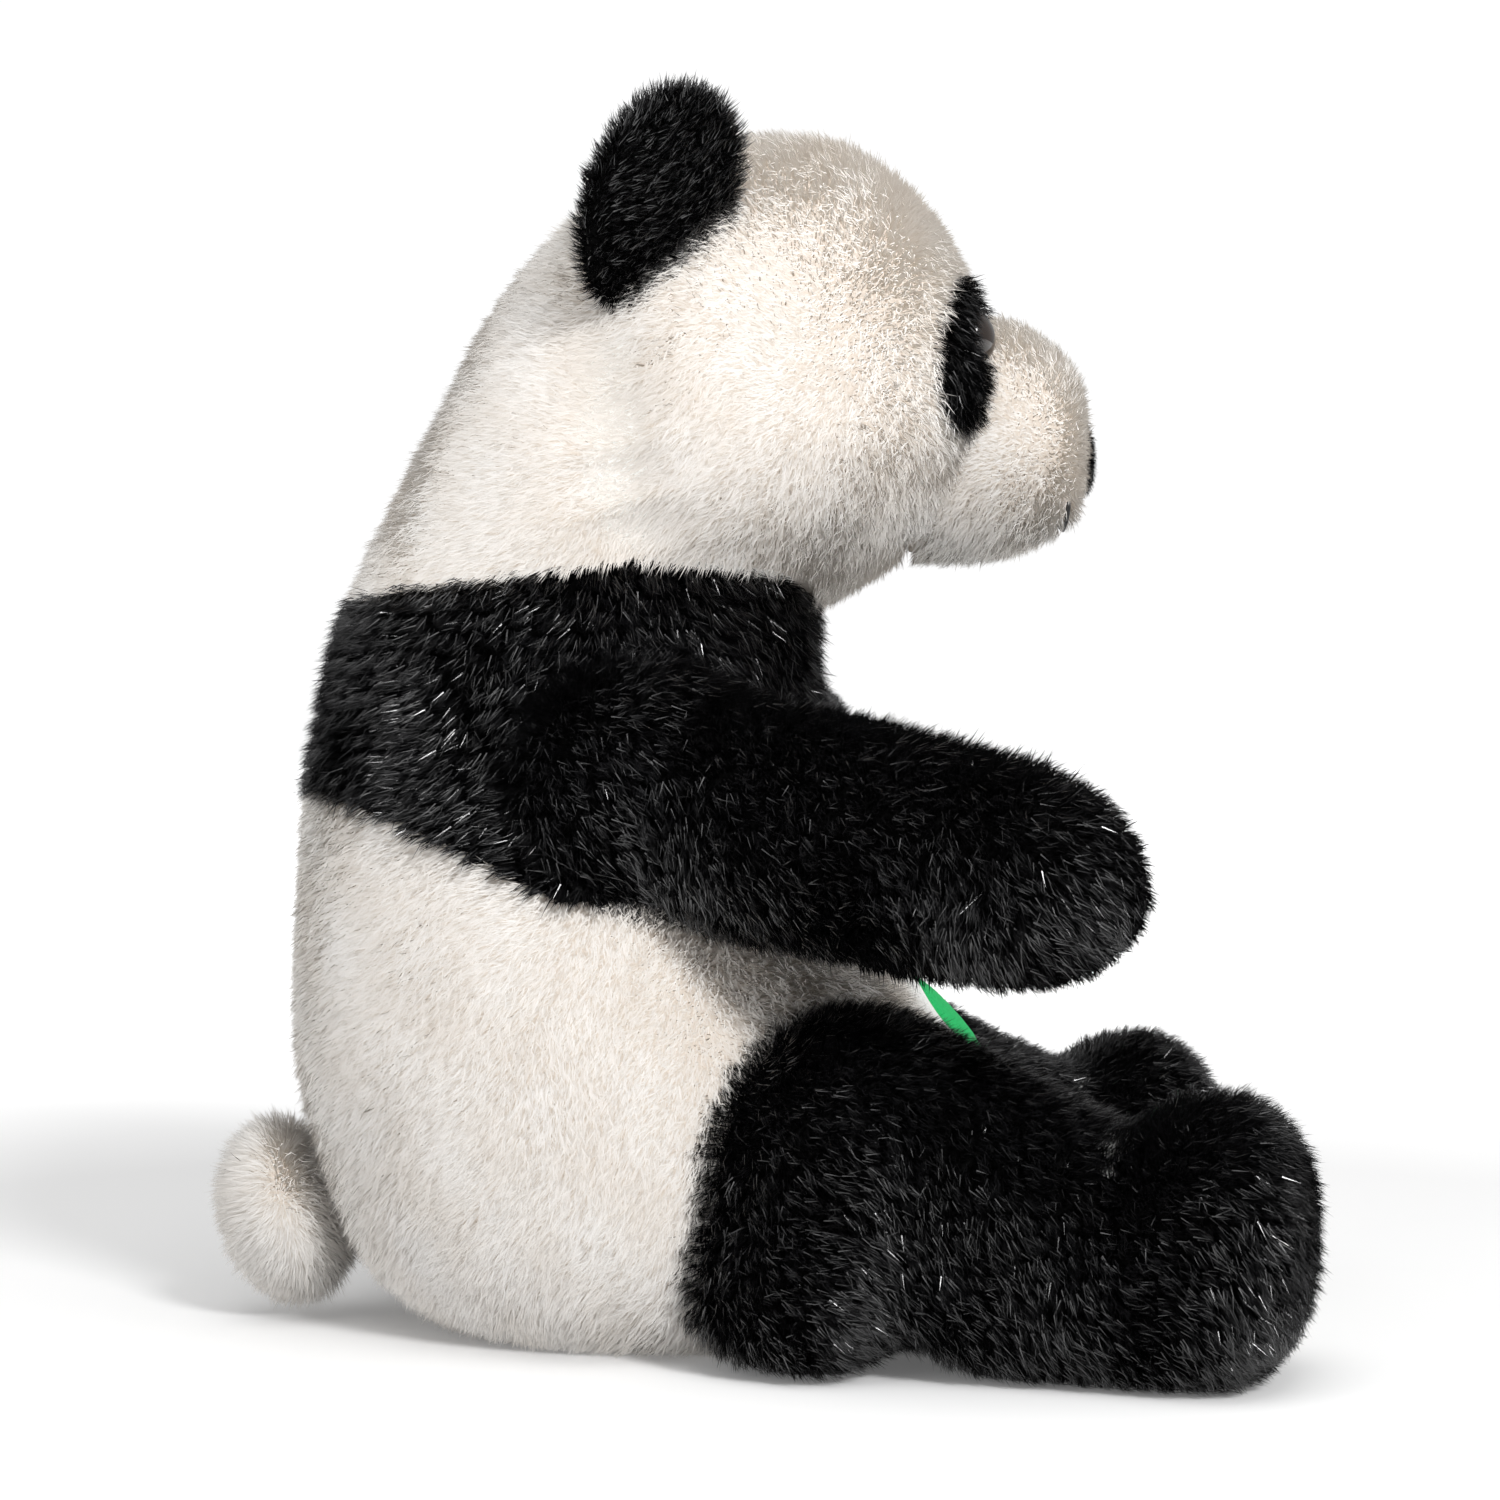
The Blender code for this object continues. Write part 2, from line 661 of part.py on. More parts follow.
# The stuffing fills the covers and rises into the neck as a dome about the neck's pivot.
dome_radius = NECK_RADIUS - SEAM_GAP
rim_row = row_leaving_ball(torso_core, NECK_PIVOT, dome_radius)
trunk = rows_between(torso_core, TRUNK_FIRST_ROW + bottom_row, rim_row, TRUNK_ROWS)
dome = neck_cap(trunk[-1], dome_radius)
torso_stuffing = add_object(
    "torso_stuffing", solid_mesh("torso_stuffing", np.concatenate([trunk, dome])), STUFFING
)
for side in (1, -1):
    carve(torso_stuffing, arm_rooms[side])
    carve(torso_stuffing, leg_rooms[side])

base_middle = torso_outer[0].mean(axis=0)
base_rim = base_middle + (torso_outer[0] - base_middle) * BASE_SHARE
base_grid = np.stack([base_rim, base_rim + np.array([0, 0, BASE_THICKNESS])])
base_panel = add_object("base_panel", solid_mesh("base_panel", base_grid), WHITE_PLUSH)
for side in (1, -1):
    carve(base_panel, leg_rooms[side])

add_object(
    "belly_patch",
    pad_mesh("belly_patch", BELLY_PATCH, front_of(TORSO_ROWS), SEAM_GAP, BELLY_PATCH_THICKNESS),
    GREEN_FELT,
)
half_label = Vector(LABEL_SIZE) / 2
add_object(
    "care_label",
    box_mesh("care_label", Vector(LABEL_MIDDLE) - half_label, Vector(LABEL_MIDDLE) + half_label),
    LABEL_SATIN,
)


# --- Head ------------------------------------------------------------------------------------

head_pivot = add_empty("head_pivot", NECK_PIVOT)
to_pivot = -NECK_PIVOT


def on_head(name, mesh, finish=None):
    """A piece modelled in place whose origin is then set on the neck's axis."""
    mesh.transform(Matrix.Translation(to_pivot * MM))
    return add_object(name, mesh, finish, head_pivot)


head_outer = level_rings(HEAD_ROWS, TORSO_COLUMNS, face_power)
head_inner = moved_out(head_outer, -COVER)
head_core = moved_out(head_outer, -COVER - STUFFING_GAP)
head_end = len(head_outer) - 1
socket_radius = NECK_RADIUS + SEAM_GAP


def head_grid(grid, count):
    start = row_leaving_ball(grid, NECK_PIVOT, socket_radius)
    return rows_between(grid, start, head_end + 0 * start, count)


muzzle_outer = forward_rings(MUZZLE_ROWS, LIMB_COLUMNS)
muzzle_inner = moved_out(muzzle_outer, -COVER)
muzzle_core = moved_out(muzzle_outer, -COVER - STUFFING_GAP)
muzzle_wide = moved_out(muzzle_outer, SEAM_GAP)
muzzle_wide[0] += np.array([0, SEAM_GAP * 3, 0])
muzzle_end = len(muzzle_outer) - 1

cut_gusset = on_head(
    "cut_gusset",
    box_mesh(
        "gusset",
        (-GUSSET_HALF_WIDTH, -PAST_HEAD, GUSSET_BOTTOM),
        (GUSSET_HALF_WIDTH, PAST_HEAD, GUSSET_BOTTOM + PAST_HEAD),
    ),
)
cut_gusset_room = on_head(
    "cut_gusset_room",
    box_mesh(
        "gusset_room",
        (-GUSSET_HALF_WIDTH - SEAM_GAP, -PAST_HEAD, GUSSET_BOTTOM - SEAM_GAP),
        (GUSSET_HALF_WIDTH + SEAM_GAP, PAST_HEAD, GUSSET_BOTTOM + PAST_HEAD),
    ),
)
muzzle_room = solid_mesh("muzzle", rows_between(muzzle_wide, 0, muzzle_end, MUZZLE_PANEL_ROWS))
cut_muzzle = on_head("cut_muzzle", muzzle_room)
head_cup = cup_mesh(
    "head_cover", head_grid(head_outer, HEAD_PANEL_ROWS), head_grid(head_inner, HEAD_PANEL_ROWS)
)

gusset = on_head("head_gusset", head_cup.copy(), WHITE_PLUSH)
carve(gusset, cut_gusset, "INTERSECT")
carve(gusset, cut_muzzle)
for side in (1, -1):
    near, far = sorted((side * SEAM_GAP / 2, side * PAST_HEAD))
    side_box = box_mesh(
        "side", (near, -PAST_HEAD, NECK_PIVOT.z), (far, PAST_HEAD, GUSSET_BOTTOM + PAST_HEAD)
    )
    cut_side = on_head(f"cut_head_{SIDE_NAME[side]}", side_box)
    cover = on_head(f"head_cover_{SIDE_NAME[side]}", head_cup.copy(), WHITE_PLUSH)
    carve(cover, cut_side, "INTERSECT")
    carve(cover, cut_gusset_room)
    carve(cover, cut_muzzle)

# The head's stuffing is hollowed below by the ball that the neck's dome turns in.
core_rows = head_grid(head_core, HEAD_PANEL_ROWS)
bowl = neck_cap(core_rows[0], socket_radius + JOINT_GAP)[::-1]
head_stuffing = on_head(
    "head_stuffing", solid_mesh("head_stuffing", np.concatenate([bowl, core_rows])), STUFFING
)

# The muzzle's cover and stuffing pass through the head's cover and end at its stuffing.
cut_face = on_head("cut_face", solid_mesh("face", rows_between(head_inner, 0, head_end, HEAD_PANEL_ROWS)))
muzzle_cover = on_head(
    "muzzle_cover",
    cup_mesh(
        "muzzle_cover",
        rows_between(muzzle_outer, 0, muzzle_end, MUZZLE_PANEL_ROWS),
        rows_between(muzzle_inner, 0, muzzle_end, MUZZLE_PANEL_ROWS),
    ),
    WHITE_PLUSH,
)
carve(muzzle_cover, cut_face)
muzzle_fill = solid_mesh("muzzle_stuffing", rows_between(muzzle_core, 0, muzzle_end, MUZZLE_PANEL_ROWS))
muzzle_stuffing = on_head("muzzle_stuffing", muzzle_fill, STUFFING)
carve(muzzle_stuffing, cut_face)

nose_grid = forward_rings(NOSE_ROWS, LIMB_COLUMNS)
on_head("nose", solid_mesh("nose", rows_between(nose_grid, 0, len(nose_grid) - 1, 5)), BLACK_PLUSH)

# The mouth is a stitched line round the lower front of the muzzle.
stitch_line = moved_out(muzzle_outer, MOUTH_THREAD + SEAM_GAP)
turns = np.linspace(math.pi - MOUTH_TURN, math.pi + MOUTH_TURN, MOUTH_POINTS)
mouth_row = int(np.argmin(np.abs(-muzzle_outer[:, 0, 1] - MOUTH_REACH)))
ring = stitch_line[mouth_row]
place = turns / (2 * math.pi) * LIMB_COLUMNS
mouth_points = np.stack([np.interp(place, np.arange(LIMB_COLUMNS), ring[:, k]) for k in range(3)], axis=1)
thread = bpy.data.curves.new("mouth_stitch", "CURVE")
thread.dimensions = "3D"
thread.bevel_depth = MOUTH_THREAD * MM
thread.bevel_resolution = 1
thread.use_fill_caps = True
run = thread.splines.new("POLY")
run.points.add(len(mouth_points) - 1)
for point, place in zip(run.points, mouth_points):
    point.co = (*((Vector(place) + to_pivot) * MM), 1)
thread.materials.append(material_of(THREAD))
mouth = bpy.data.objects.new("mouth_stitch", thread)
bpy.context.scene.collection.objects.link(mouth)
mouth.parent = head_pivot

# Eye patches, and eyes whose shanks pass through the face into washers.
face_surface = front_of(HEAD_ROWS, face_power)
STEP = 1.0  # over which the face's slope is measured
dome_profile = [(0, EYE_DOME)]
dome_profile += [(EYE_RADIUS * math.sin(a), EYE_DOME * math.cos(a)) for a in np.linspace(0, 1.5, 5)[1:]]
dome_profile += [(EYE_RADIUS, 0), (SHANK_RADIUS, 0), (SHANK_RADIUS, -SHANK_LENGTH), (0, -SHANK_LENGTH)]
for side in (1, -1):
    name = SIDE_NAME[side]
    pad = dict(EYE_PATCH, middle=(EYE_PATCH["middle"][0] * side, EYE_PATCH["middle"][1]))
    pad["tilt"] = EYE_PATCH["tilt"] * side
    patch = on_head(
        f"eye_patch_{name}",
        pad_mesh("eye_patch", pad, face_surface, SEAM_GAP * 1.5, EYE_PATCH_THICKNESS),
        BLACK_PLUSH,
    )
    x, z = EYE_MIDDLE[0] * side, EYE_MIDDLE[1]
    y = float(face_surface(x, z))
    lean_x = float(face_surface(x + STEP, z) - face_surface(x - STEP, z)) / (2 * STEP)
    lean_z = float(face_surface(x, z + STEP) - face_surface(x, z - STEP)) / (2 * STEP)
    outward = Vector((lean_x, -1, lean_z)).normalized()
    stand = Vector((x, y, z)) + outward * (EYE_PATCH_THICKNESS + SEAM_GAP * 4)
    frame = outward.to_track_quat("Z", "Y").to_matrix()
    eye_seat = add_empty(f"eye_{name}_seat", stand, frame)
    eye_seat.parent = head_pivot
    eye_seat.matrix_parent_inverse = Matrix.Translation(to_pivot * MM)
    add_object(f"eye_{name}", turned_mesh("eye", dome_profile, EYE_COLUMNS), EYE_PLASTIC, eye_seat)
    washer_profile = [
        (SHANK_RADIUS + SEAM_GAP, 0),
        (WASHER_RADIUS, 0),
        (WASHER_RADIUS, -WASHER_THICKNESS),
        (SHANK_RADIUS + SEAM_GAP, -WASHER_THICKNESS),
        (SHANK_RADIUS + SEAM_GAP, 0),
    ]
    hoop = round_angles(EYE_COLUMNS)[None, :]
    radius, height = np.array(washer_profile).T[:, :, None]
    washer_grid = np.stack(
        [radius * np.cos(hoop), radius * np.sin(hoop), height - WASHER_DEPTH + 0 * hoop], axis=2
    )
    washer_mesh = closed_mesh("washer", washer_grid.reshape(-1, 3), grid_faces(5, EYE_COLUMNS, closed=True))
    add_object(f"eye_washer_{name}", washer_mesh, WASHER_PLASTIC, eye_seat)
    shank_room = SHANK_RADIUS + SEAM_GAP
    bore_end = -SHANK_LENGTH - BORE_BELOW
    bore = [(0, BORE_ABOVE), (shank_room, BORE_ABOVE), (shank_room, bore_end), (0, bore_end)]
    cut_bore = add_object(f"cut_eye_bore_{name}", turned_mesh("bore", bore, EYE_COLUMNS), parent=eye_seat)
    washer_room = WASHER_RADIUS + SEAM_GAP
    pocket_end = -WASHER_DEPTH - BORE_BELOW
    pocket = [(0, POCKET_ABOVE), (washer_room, POCKET_ABOVE), (washer_room, pocket_end), (0, pocket_end)]
    pocket_mesh = turned_mesh("pocket", pocket, EYE_COLUMNS)
    cut_pocket = add_object(f"cut_eye_pocket_{name}", pocket_mesh, parent=eye_seat)
    carve(patch, cut_bore)
    carve(patch, cut_muzzle)
    carve(bpy.data.objects[f"head_cover_{name}"], cut_bore)
    carve(head_stuffing, cut_pocket)
    carve(head_stuffing, cut_bore)


# --- Ears ------------------------------------------------------------------------------------

skull_grid = rows_between(moved_out(head_outer, EAR_CLEARANCE), 0, head_end, HEAD_PANEL_ROWS)
cut_skull = on_head("cut_skull", solid_mesh("skull", skull_grid))
ear_rows = [
    (-EAR_HALF[2] * math.cos(a), 0, EAR_HALF[1] * math.sin(a), EAR_HALF[0] * math.sin(a))
    for a in np.linspace(0, math.pi, EAR_PANEL_ROWS)
]
# The rings run along -Y; turned up, they run along Z, with the ear's thickness along Y.
ear_grid = forward_rings(ear_rows, LIMB_COLUMNS)[:, :, [0, 2, 1]] * np.array([1, 1, -1])
for side in (1, -1):
    name = SIDE_NAME[side]
    turn = (
        Matrix.Rotation(EAR_LEAN_OUT * side, 3, "Y")
        @ Matrix.Rotation(EAR_LEAN_FORWARD, 3, "X")
        @ Matrix.Rotation(EAR_TURN * side, 3, "Z")
    )
    pivot = add_empty(f"ear_{name}_pivot", mirrored(EAR_ROOT, side), turn)
    rows = rows_between(ear_grid, 0, len(ear_grid) - 1, EAR_PANEL_ROWS) + np.array([0, 0, EAR_RISE])
    for face, keep in (("front", -1), ("back", 1)):
        near, far = sorted((keep * SEAM_GAP / 2, keep * EAR_CUT))
        half_box = box_mesh("ear_half", (-EAR_CUT, near, -EAR_CUT), (EAR_CUT, far, EAR_CUT))
        cut_half = add_object(f"cut_ear_{name}_{face}", half_box, parent=pivot)
        panel = add_object(f"ear_{name}_{face}", solid_mesh("ear", rows), BLACK_PLUSH, pivot)
        carve(panel, cut_half, "INTERSECT")
        carve(panel, cut_skull)


# --- Tail ------------------------------------------------------------------------------------

tail_outer = forward_rings([(-d, 0, r, r) for d, r in TAIL_ROWS], LIMB_COLUMNS)
tail_inner = moved_out(tail_outer, -COVER)
tail_core = moved_out(tail_outer, -COVER - STUFFING_GAP)
tail_pivot = add_empty("tail_pivot", TAIL_PIVOT, Matrix.Rotation(-TAIL_DROP, 3, "X"))
tail_end = len(tail_outer) - 1
outer = rows_between(tail_outer, 0, tail_end, TAIL_PANEL_ROWS)
inner = rows_between(tail_inner, TAIL_HOLLOW_ROW, tail_end, TAIL_PANEL_ROWS)
for side, half_outer, half_inner in halves(outer, inner):
    add_object(f"tail_{SIDE_NAME[side]}", panel_mesh("tail", half_outer, half_inner), WHITE_PLUSH, tail_pivot)
core = rows_between(tail_core, TAIL_CORE_ROW, tail_end, TAIL_PANEL_ROWS)
add_object("tail_stuffing", solid_mesh("tail_stuffing", core), STUFFING, tail_pivot)
cut_tail = add_object("cut_tail", ball_mesh("tail_socket", TAIL_SOCKET_RADIUS, *TAIL_SOCKET_FACES))
cut_tail.location = TAIL_PIVOT * MM
for name in ("torso_cover_left", "torso_cover_right", "torso_stuffing"):
    carve(bpy.data.objects[name], cut_tail)
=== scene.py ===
"""The look of a seated plush panda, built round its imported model.

The panda sits on z = 0 and faces -Y. Sizes are written in millimetres and turned into metres
by MM when a mesh is made.
"""

import math

import bmesh
import bpy
import numpy as np
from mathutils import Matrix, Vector


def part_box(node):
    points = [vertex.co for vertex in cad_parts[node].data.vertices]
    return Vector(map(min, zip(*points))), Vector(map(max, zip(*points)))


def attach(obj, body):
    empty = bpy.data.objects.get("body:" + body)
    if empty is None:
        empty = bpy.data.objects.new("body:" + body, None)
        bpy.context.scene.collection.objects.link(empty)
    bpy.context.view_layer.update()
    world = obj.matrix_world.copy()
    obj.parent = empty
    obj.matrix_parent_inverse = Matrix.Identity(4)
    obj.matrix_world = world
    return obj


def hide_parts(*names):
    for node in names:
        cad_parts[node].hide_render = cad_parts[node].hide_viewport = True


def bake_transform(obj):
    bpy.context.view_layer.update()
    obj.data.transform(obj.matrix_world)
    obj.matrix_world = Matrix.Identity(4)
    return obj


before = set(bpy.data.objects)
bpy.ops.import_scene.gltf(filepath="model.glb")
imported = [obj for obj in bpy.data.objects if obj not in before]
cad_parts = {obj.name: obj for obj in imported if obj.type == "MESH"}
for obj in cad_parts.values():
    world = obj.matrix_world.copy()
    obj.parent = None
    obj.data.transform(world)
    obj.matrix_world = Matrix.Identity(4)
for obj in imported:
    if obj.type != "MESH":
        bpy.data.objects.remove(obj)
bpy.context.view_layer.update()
MM = 0.001


# --- Torso cover -----------------------------------------------------------------------------
# The lower body is a bag of white plush: a knitted backing that carries a dense pile of fine
# polyester fibres. It is sewn from a left and a right panel and stuffed until it bulges.

# Height, reach forward, reach back, half width.
TORSO_ROWS = [
    (1.0, 34, 60, 46),
    (5, 46, 78, 60),
    (14, 55, 91, 68),
    (28, 60, 100, 73),
    (45, 60, 105.5, 75),
    (64, 53, 110, 74),
    (82, 39, 111, 71),
    (100, 26, 110.5, 68),
    (125, 17, 109, 63),
    (152, 15, 104.5, 57),
    (178, 14.5, 98, 51.5),
    (205, 14.5, 86, 46),
]
BACKING_DEPTH = 1.5  # how far the knitted backing lies under the cover's outer face
LOWEST_BACKING = 1.2  # height of the backing where the body sits on the floor
SEAM_ALLOWANCE = 4  # how far the edge of a cover is turned in
ROWS, COLUMNS = 100, 96  # rings of the torso and the head, and points round each
SIDES = ((1, "left"), (-1, "right"))
HIP = np.array([56.0, -25.0, 43.0])
SHOULDER = np.array([42.0, 28.0, 132.0])
SQUARE_FROM, SQUARE_OVER = 190, 25  # height at which the head's front grows squarer, and over how much


def smooth_rows(rows, count):
    """Every column of rows at count even steps: cubic curves through the rows, whose slope at
    each row is that of the line between its two neighbours."""
    rows = np.array(rows, float)
    slopes = np.gradient(rows, axis=0)
    at = np.linspace(0, len(rows) - 1, count)
    low = np.minimum(at.astype(int), len(rows) - 2)
    t = (at - low)[:, None]
    start, end = rows[low], rows[low + 1]
    rise = (t**3 - 2 * t**2 + t) * slopes[low] + (t**3 - t**2) * slopes[low + 1]
    return start + (3 * t**2 - 2 * t**3) * (end - start) + rise


def level_rings(rows, count, columns, squareness=0.0):
    """Oval rings, one above another: x = half width * sin a, and y = -(front - back) / 2
    - (front + back) / 2 * cos a. Column 0 faces forward and the last column repeats it. On the
    front half, sin a and cos a are raised to 2 / (2 + squareness * s), where s grows from 0 to 1
    over the heights of the face."""
    height, front, back, half_width = smooth_rows(rows, count).T[:, :, None]
    angle = np.linspace(0, 2 * math.pi, columns + 1)
    sine, cosine = np.sin(angle), np.cos(angle)
    square_share = np.clip((height - SQUARE_FROM) / SQUARE_OVER, 0, 1)
    share = np.where(cosine > 0, 2 / (2 + squareness * square_share), 1)
    sine, cosine = (np.sign(turn) * np.abs(turn) ** share for turn in (sine, cosine))
    reach = (front - back) / 2 + (front + back) / 2 * cosine
    return np.stack([np.maximum(half_width, 0) * sine, -reach, height + 0 * angle], axis=2)


def forward_rings(rows, count, columns):
    """Oval rings along -Y, from (reach, middle, half height, half width): x = half width * sin a
    and z = middle + half height * cos a. Column 0 is on top."""
    reach, middle, half_height, half_width = smooth_rows(rows, count).T[:, :, None]
    angle = np.linspace(0, 2 * math.pi, columns + 1)
    x = np.maximum(half_width, 0) * np.sin(angle)
    z = middle + np.maximum(half_height, 0) * np.cos(angle)
    return np.stack([x, -reach + 0 * angle, z], axis=2)


def unit(vectors):
    return vectors / np.maximum(np.linalg.norm(vectors, axis=-1, keepdims=True), 1e-9)


def outward(grid):
    """Unit normals of a closed grid: the cross product of the steps round it and along it. A row
    drawn together to a point takes the mean of the row beside it."""
    wrapped = np.concatenate([grid[:, -2:-1], grid, grid[:, 1:2]], axis=1)
    normal = unit(np.cross(np.gradient(wrapped, axis=1)[:, 1:-1], np.gradient(grid, axis=0)))
    for end, beside in ((0, 1), (-1, -2)):
        if np.ptp(grid[end], axis=0).max() < 1e-3:
            normal[end] = unit(normal[beside].mean(axis=0))
    if (normal * (grid - grid.mean(axis=(0, 1)))).sum() < 0:
        normal = -normal
    return normal


def near(points, line, radius):
    """exp(-(d / radius)^2), where d is the distance to the nearest point of a line."""
    line = np.array(line, float).reshape(-1, 3)
    square = ((points[..., None, :] - line) ** 2).sum(axis=-1).min(axis=-1)
    return np.exp(-square / radius**2)


def swell(grid, line, radius, rise):
    """The grid pushed out along its normals by rise * near(line)."""
    return grid + outward(grid) * (rise * near(grid, line, radius))[..., None]


def rows_between(grid, first, last, count):
    """The grid again in count rows, from row first to row last. Each may differ by column."""
    columns = np.arange(grid.shape[1])
    at = first + (last - first) * np.linspace(0, 1, count)[:, None]
    low = np.clip(at.astype(int), 0, len(grid) - 2)
    t = (at - low)[:, :, None]
    return grid[low, columns] * (1 - t) + grid[low + 1, columns] * t


def row_at_height(grid, heights):
    """For each column, the row number at which the grid reaches that height."""
    numbers = np.arange(len(grid))
    return np.array([np.interp(h, grid[:, i, 2], numbers) for i, h in enumerate(heights)])


def bump(nodes, links, height, depth):
    made = nodes.new("ShaderNodeBump")
    made.inputs["Distance"].default_value = depth
    links.new(height, made.inputs["Height"])
    return made.outputs["Normal"]


def node_group(name, colours, number, made):
    """An empty node group that is given colours and one number, and makes those sockets."""
    tree = bpy.data.node_groups.new(name, "ShaderNodeTree")
    sockets = [("INPUT", colour, "Color") for colour in colours]
    sockets += [("INPUT", number, "Float")] if number else []
    for way, socket, kind in sockets + [("OUTPUT", socket, kind) for socket, kind in made]:
        tree.interface.new_socket(socket, in_out=way, socket_type="NodeSocket" + kind)
    nodes = tree.nodes
    return tree, nodes, tree.links, nodes.new("NodeGroupInput"), nodes.new("NodeGroupOutput")


def knit_group():
    """A node group for the knitted backing: fine loops in rows, and soft blotches of tone."""
    tree, nodes, links, given, put = node_group(
        "knitted_backing", ("Dark", "Light"), None, [("Color", "Color"), ("Height", "Float")]
    )
    place = nodes.new("ShaderNodeTexCoord")
    loops = nodes.new("ShaderNodeTexVoronoi")
    loops.inputs["Scale"].default_value = 900
    blotches = nodes.new("ShaderNodeTexNoise")
    blotches.inputs["Scale"].default_value = 60
    mix = nodes.new("ShaderNodeMix")
    mix.data_type = "RGBA"
    for texture in (loops, blotches):
        links.new(place.outputs["Object"], texture.inputs["Vector"])
    links.new(blotches.outputs["Fac"], mix.inputs["Factor"])
    links.new(given.outputs["Dark"], mix.inputs[6])
    links.new(given.outputs["Light"], mix.inputs[7])
    links.new(mix.outputs[2], put.inputs["Color"])
    links.new(loops.outputs["Distance"], put.inputs["Height"])
    return tree


knitted_backing = knit_group()


def plain_finish(name, roughness):
    """A new material, with its nodes, its links and its shader."""
    finish = bpy.data.materials.new(name)
    finish.use_nodes = True
    nodes, links = finish.node_tree.nodes, finish.node_tree.links
    shader = nodes["Principled BSDF"]
    shader.inputs["Roughness"].default_value = roughness
    return finish, nodes, links, shader


def backing_finish(name, dark, light):
    """A matt knitted cloth in two near tones."""
    finish, nodes, links, shader = plain_finish(name, 0.95)
    shader.inputs["Specular IOR Level"].default_value = 0.1
    knit = nodes.new("ShaderNodeGroup")
    knit.node_tree = knitted_backing
    knit.inputs["Dark"].default_value = (*dark, 1)
    knit.inputs["Light"].default_value = (*light, 1)
    links.new(knit.outputs["Color"], shader.inputs["Base Color"])
    links.new(bump(nodes, links, knit.outputs["Height"], 0.0003), shader.inputs["Normal"])
    return finish


def fibre_group():
    """A node group that colours a fibre from its own map: across the map runs the fibre's tone,
    and up it runs the way from root to tip. The darker Root colour is painted shade deep in the pile."""
    tree, nodes, links, given, put = node_group(
        "fibre_colour", ("Root", "Warm", "Pale"), "Root Share", [("Color", "Color")]
    )
    layout = nodes.new("ShaderNodeUVMap")
    layout.uv_map = "OFBake"
    parts = nodes.new("ShaderNodeSeparateXYZ")
    tone, along = nodes.new("ShaderNodeMix"), nodes.new("ShaderNodeMix")
    rise = nodes.new("ShaderNodeMapRange")
    rise.interpolation_type = "SMOOTHSTEP"
    for mix in (tone, along):
        mix.data_type = "RGBA"
    links.new(layout.outputs["UV"], parts.inputs["Vector"])
    links.new(parts.outputs["X"], tone.inputs["Factor"])
    links.new(given.outputs["Warm"], tone.inputs[6])
    links.new(given.outputs["Pale"], tone.inputs[7])
    links.new(parts.outputs["Y"], rise.inputs["Value"])
    links.new(given.outputs["Root Share"], rise.inputs["From Max"])
    links.new(rise.outputs["Result"], along.inputs["Factor"])
    links.new(given.outputs["Root"], along.inputs[6])
    links.new(tone.outputs[2], along.inputs[7])
    links.new(along.outputs[2], put.inputs["Color"])
    return tree


fibre_colour = fibre_group()


def fibre_finish(name, root, warm, pale, root_share, roughness, gloss):
    """Polyester pile: coloured along each fibre, darker towards the root as painted shade deep in the
    pile, with an even gloss.
    """
    finish, nodes, links, shader = plain_finish(name, roughness)
    shader.inputs["Specular IOR Level"].default_value = gloss
    colour = nodes.new("ShaderNodeGroup")
    colour.node_tree = fibre_colour
    for socket, value in (("Root", root), ("Warm", warm), ("Pale", pale)):
        colour.inputs[socket].default_value = (*value, 1)
    colour.inputs["Root Share"].default_value = root_share
    links.new(colour.outputs["Color"], shader.inputs["Base Color"])
    return finish


# The white backing is darker than its pile: painted shade deep in the pile.
SHADED_WHITE_BACKING = backing_finish("white_knit_backing", (0.62, 0.56, 0.50), (0.70, 0.64, 0.58))
# Its root colour, darker and warmer than its tip, is painted shade deep in the pile.
WHITE_PILE = fibre_finish(
    "white_polyester_pile", (0.70, 0.645, 0.58), (0.715, 0.675, 0.63), (0.78, 0.762, 0.738),
    root_share=0.6, roughness=0.8, gloss=0.06,
)
WHITE_SOFT = 0.85  # how evenly white pile is lit, because it lets light through


def in_scene(name, data):
    """A new object at the origin, linked to the scene."""
    made = bpy.data.objects.new(name, data)
    bpy.context.scene.collection.objects.link(made)
    return made


def sewn_cover(name, grid, finish, stands_for):
    """A closed grid as a smooth mesh of quads, with its poles merged and its faces outwards. It
    stands for those nodes of the model."""
    rows, columns = grid.shape[0], grid.shape[1] - 1
    number = np.arange(rows * columns).reshape(rows, columns)
    beside = np.roll(number, -1, axis=1)
    faces = np.stack([number[:-1], beside[:-1], beside[1:], number[1:]], axis=-1).reshape(-1, 4)
    mesh = bpy.data.meshes.new(name)
    mesh.from_pydata((grid[:, :-1].reshape(-1, 3) * MM).tolist(), [], faces.tolist())
    build = bmesh.new()
    build.from_mesh(mesh)
    bmesh.ops.remove_doubles(build, verts=build.verts, dist=1e-6)
    bmesh.ops.recalc_face_normals(build, faces=build.faces)
    build.to_mesh(mesh)
    build.free()
    mesh.shade_smooth()
    mesh.materials.append(finish)
    piece = in_scene(name, mesh)
    if stands_for:
        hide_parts(*stands_for)
    return piece


def scattered(cell, seed):
    """Three even random numbers for each cell of a lattice: the fractions of large sines."""
    mixed = cell @ np.array([[127.1, 269.5, 419.2], [311.7, 183.3, 371.9], [74.7, 246.1, 101.3]])
    return np.modf(np.abs(np.sin(mixed + seed) * 43758.5453))[0]


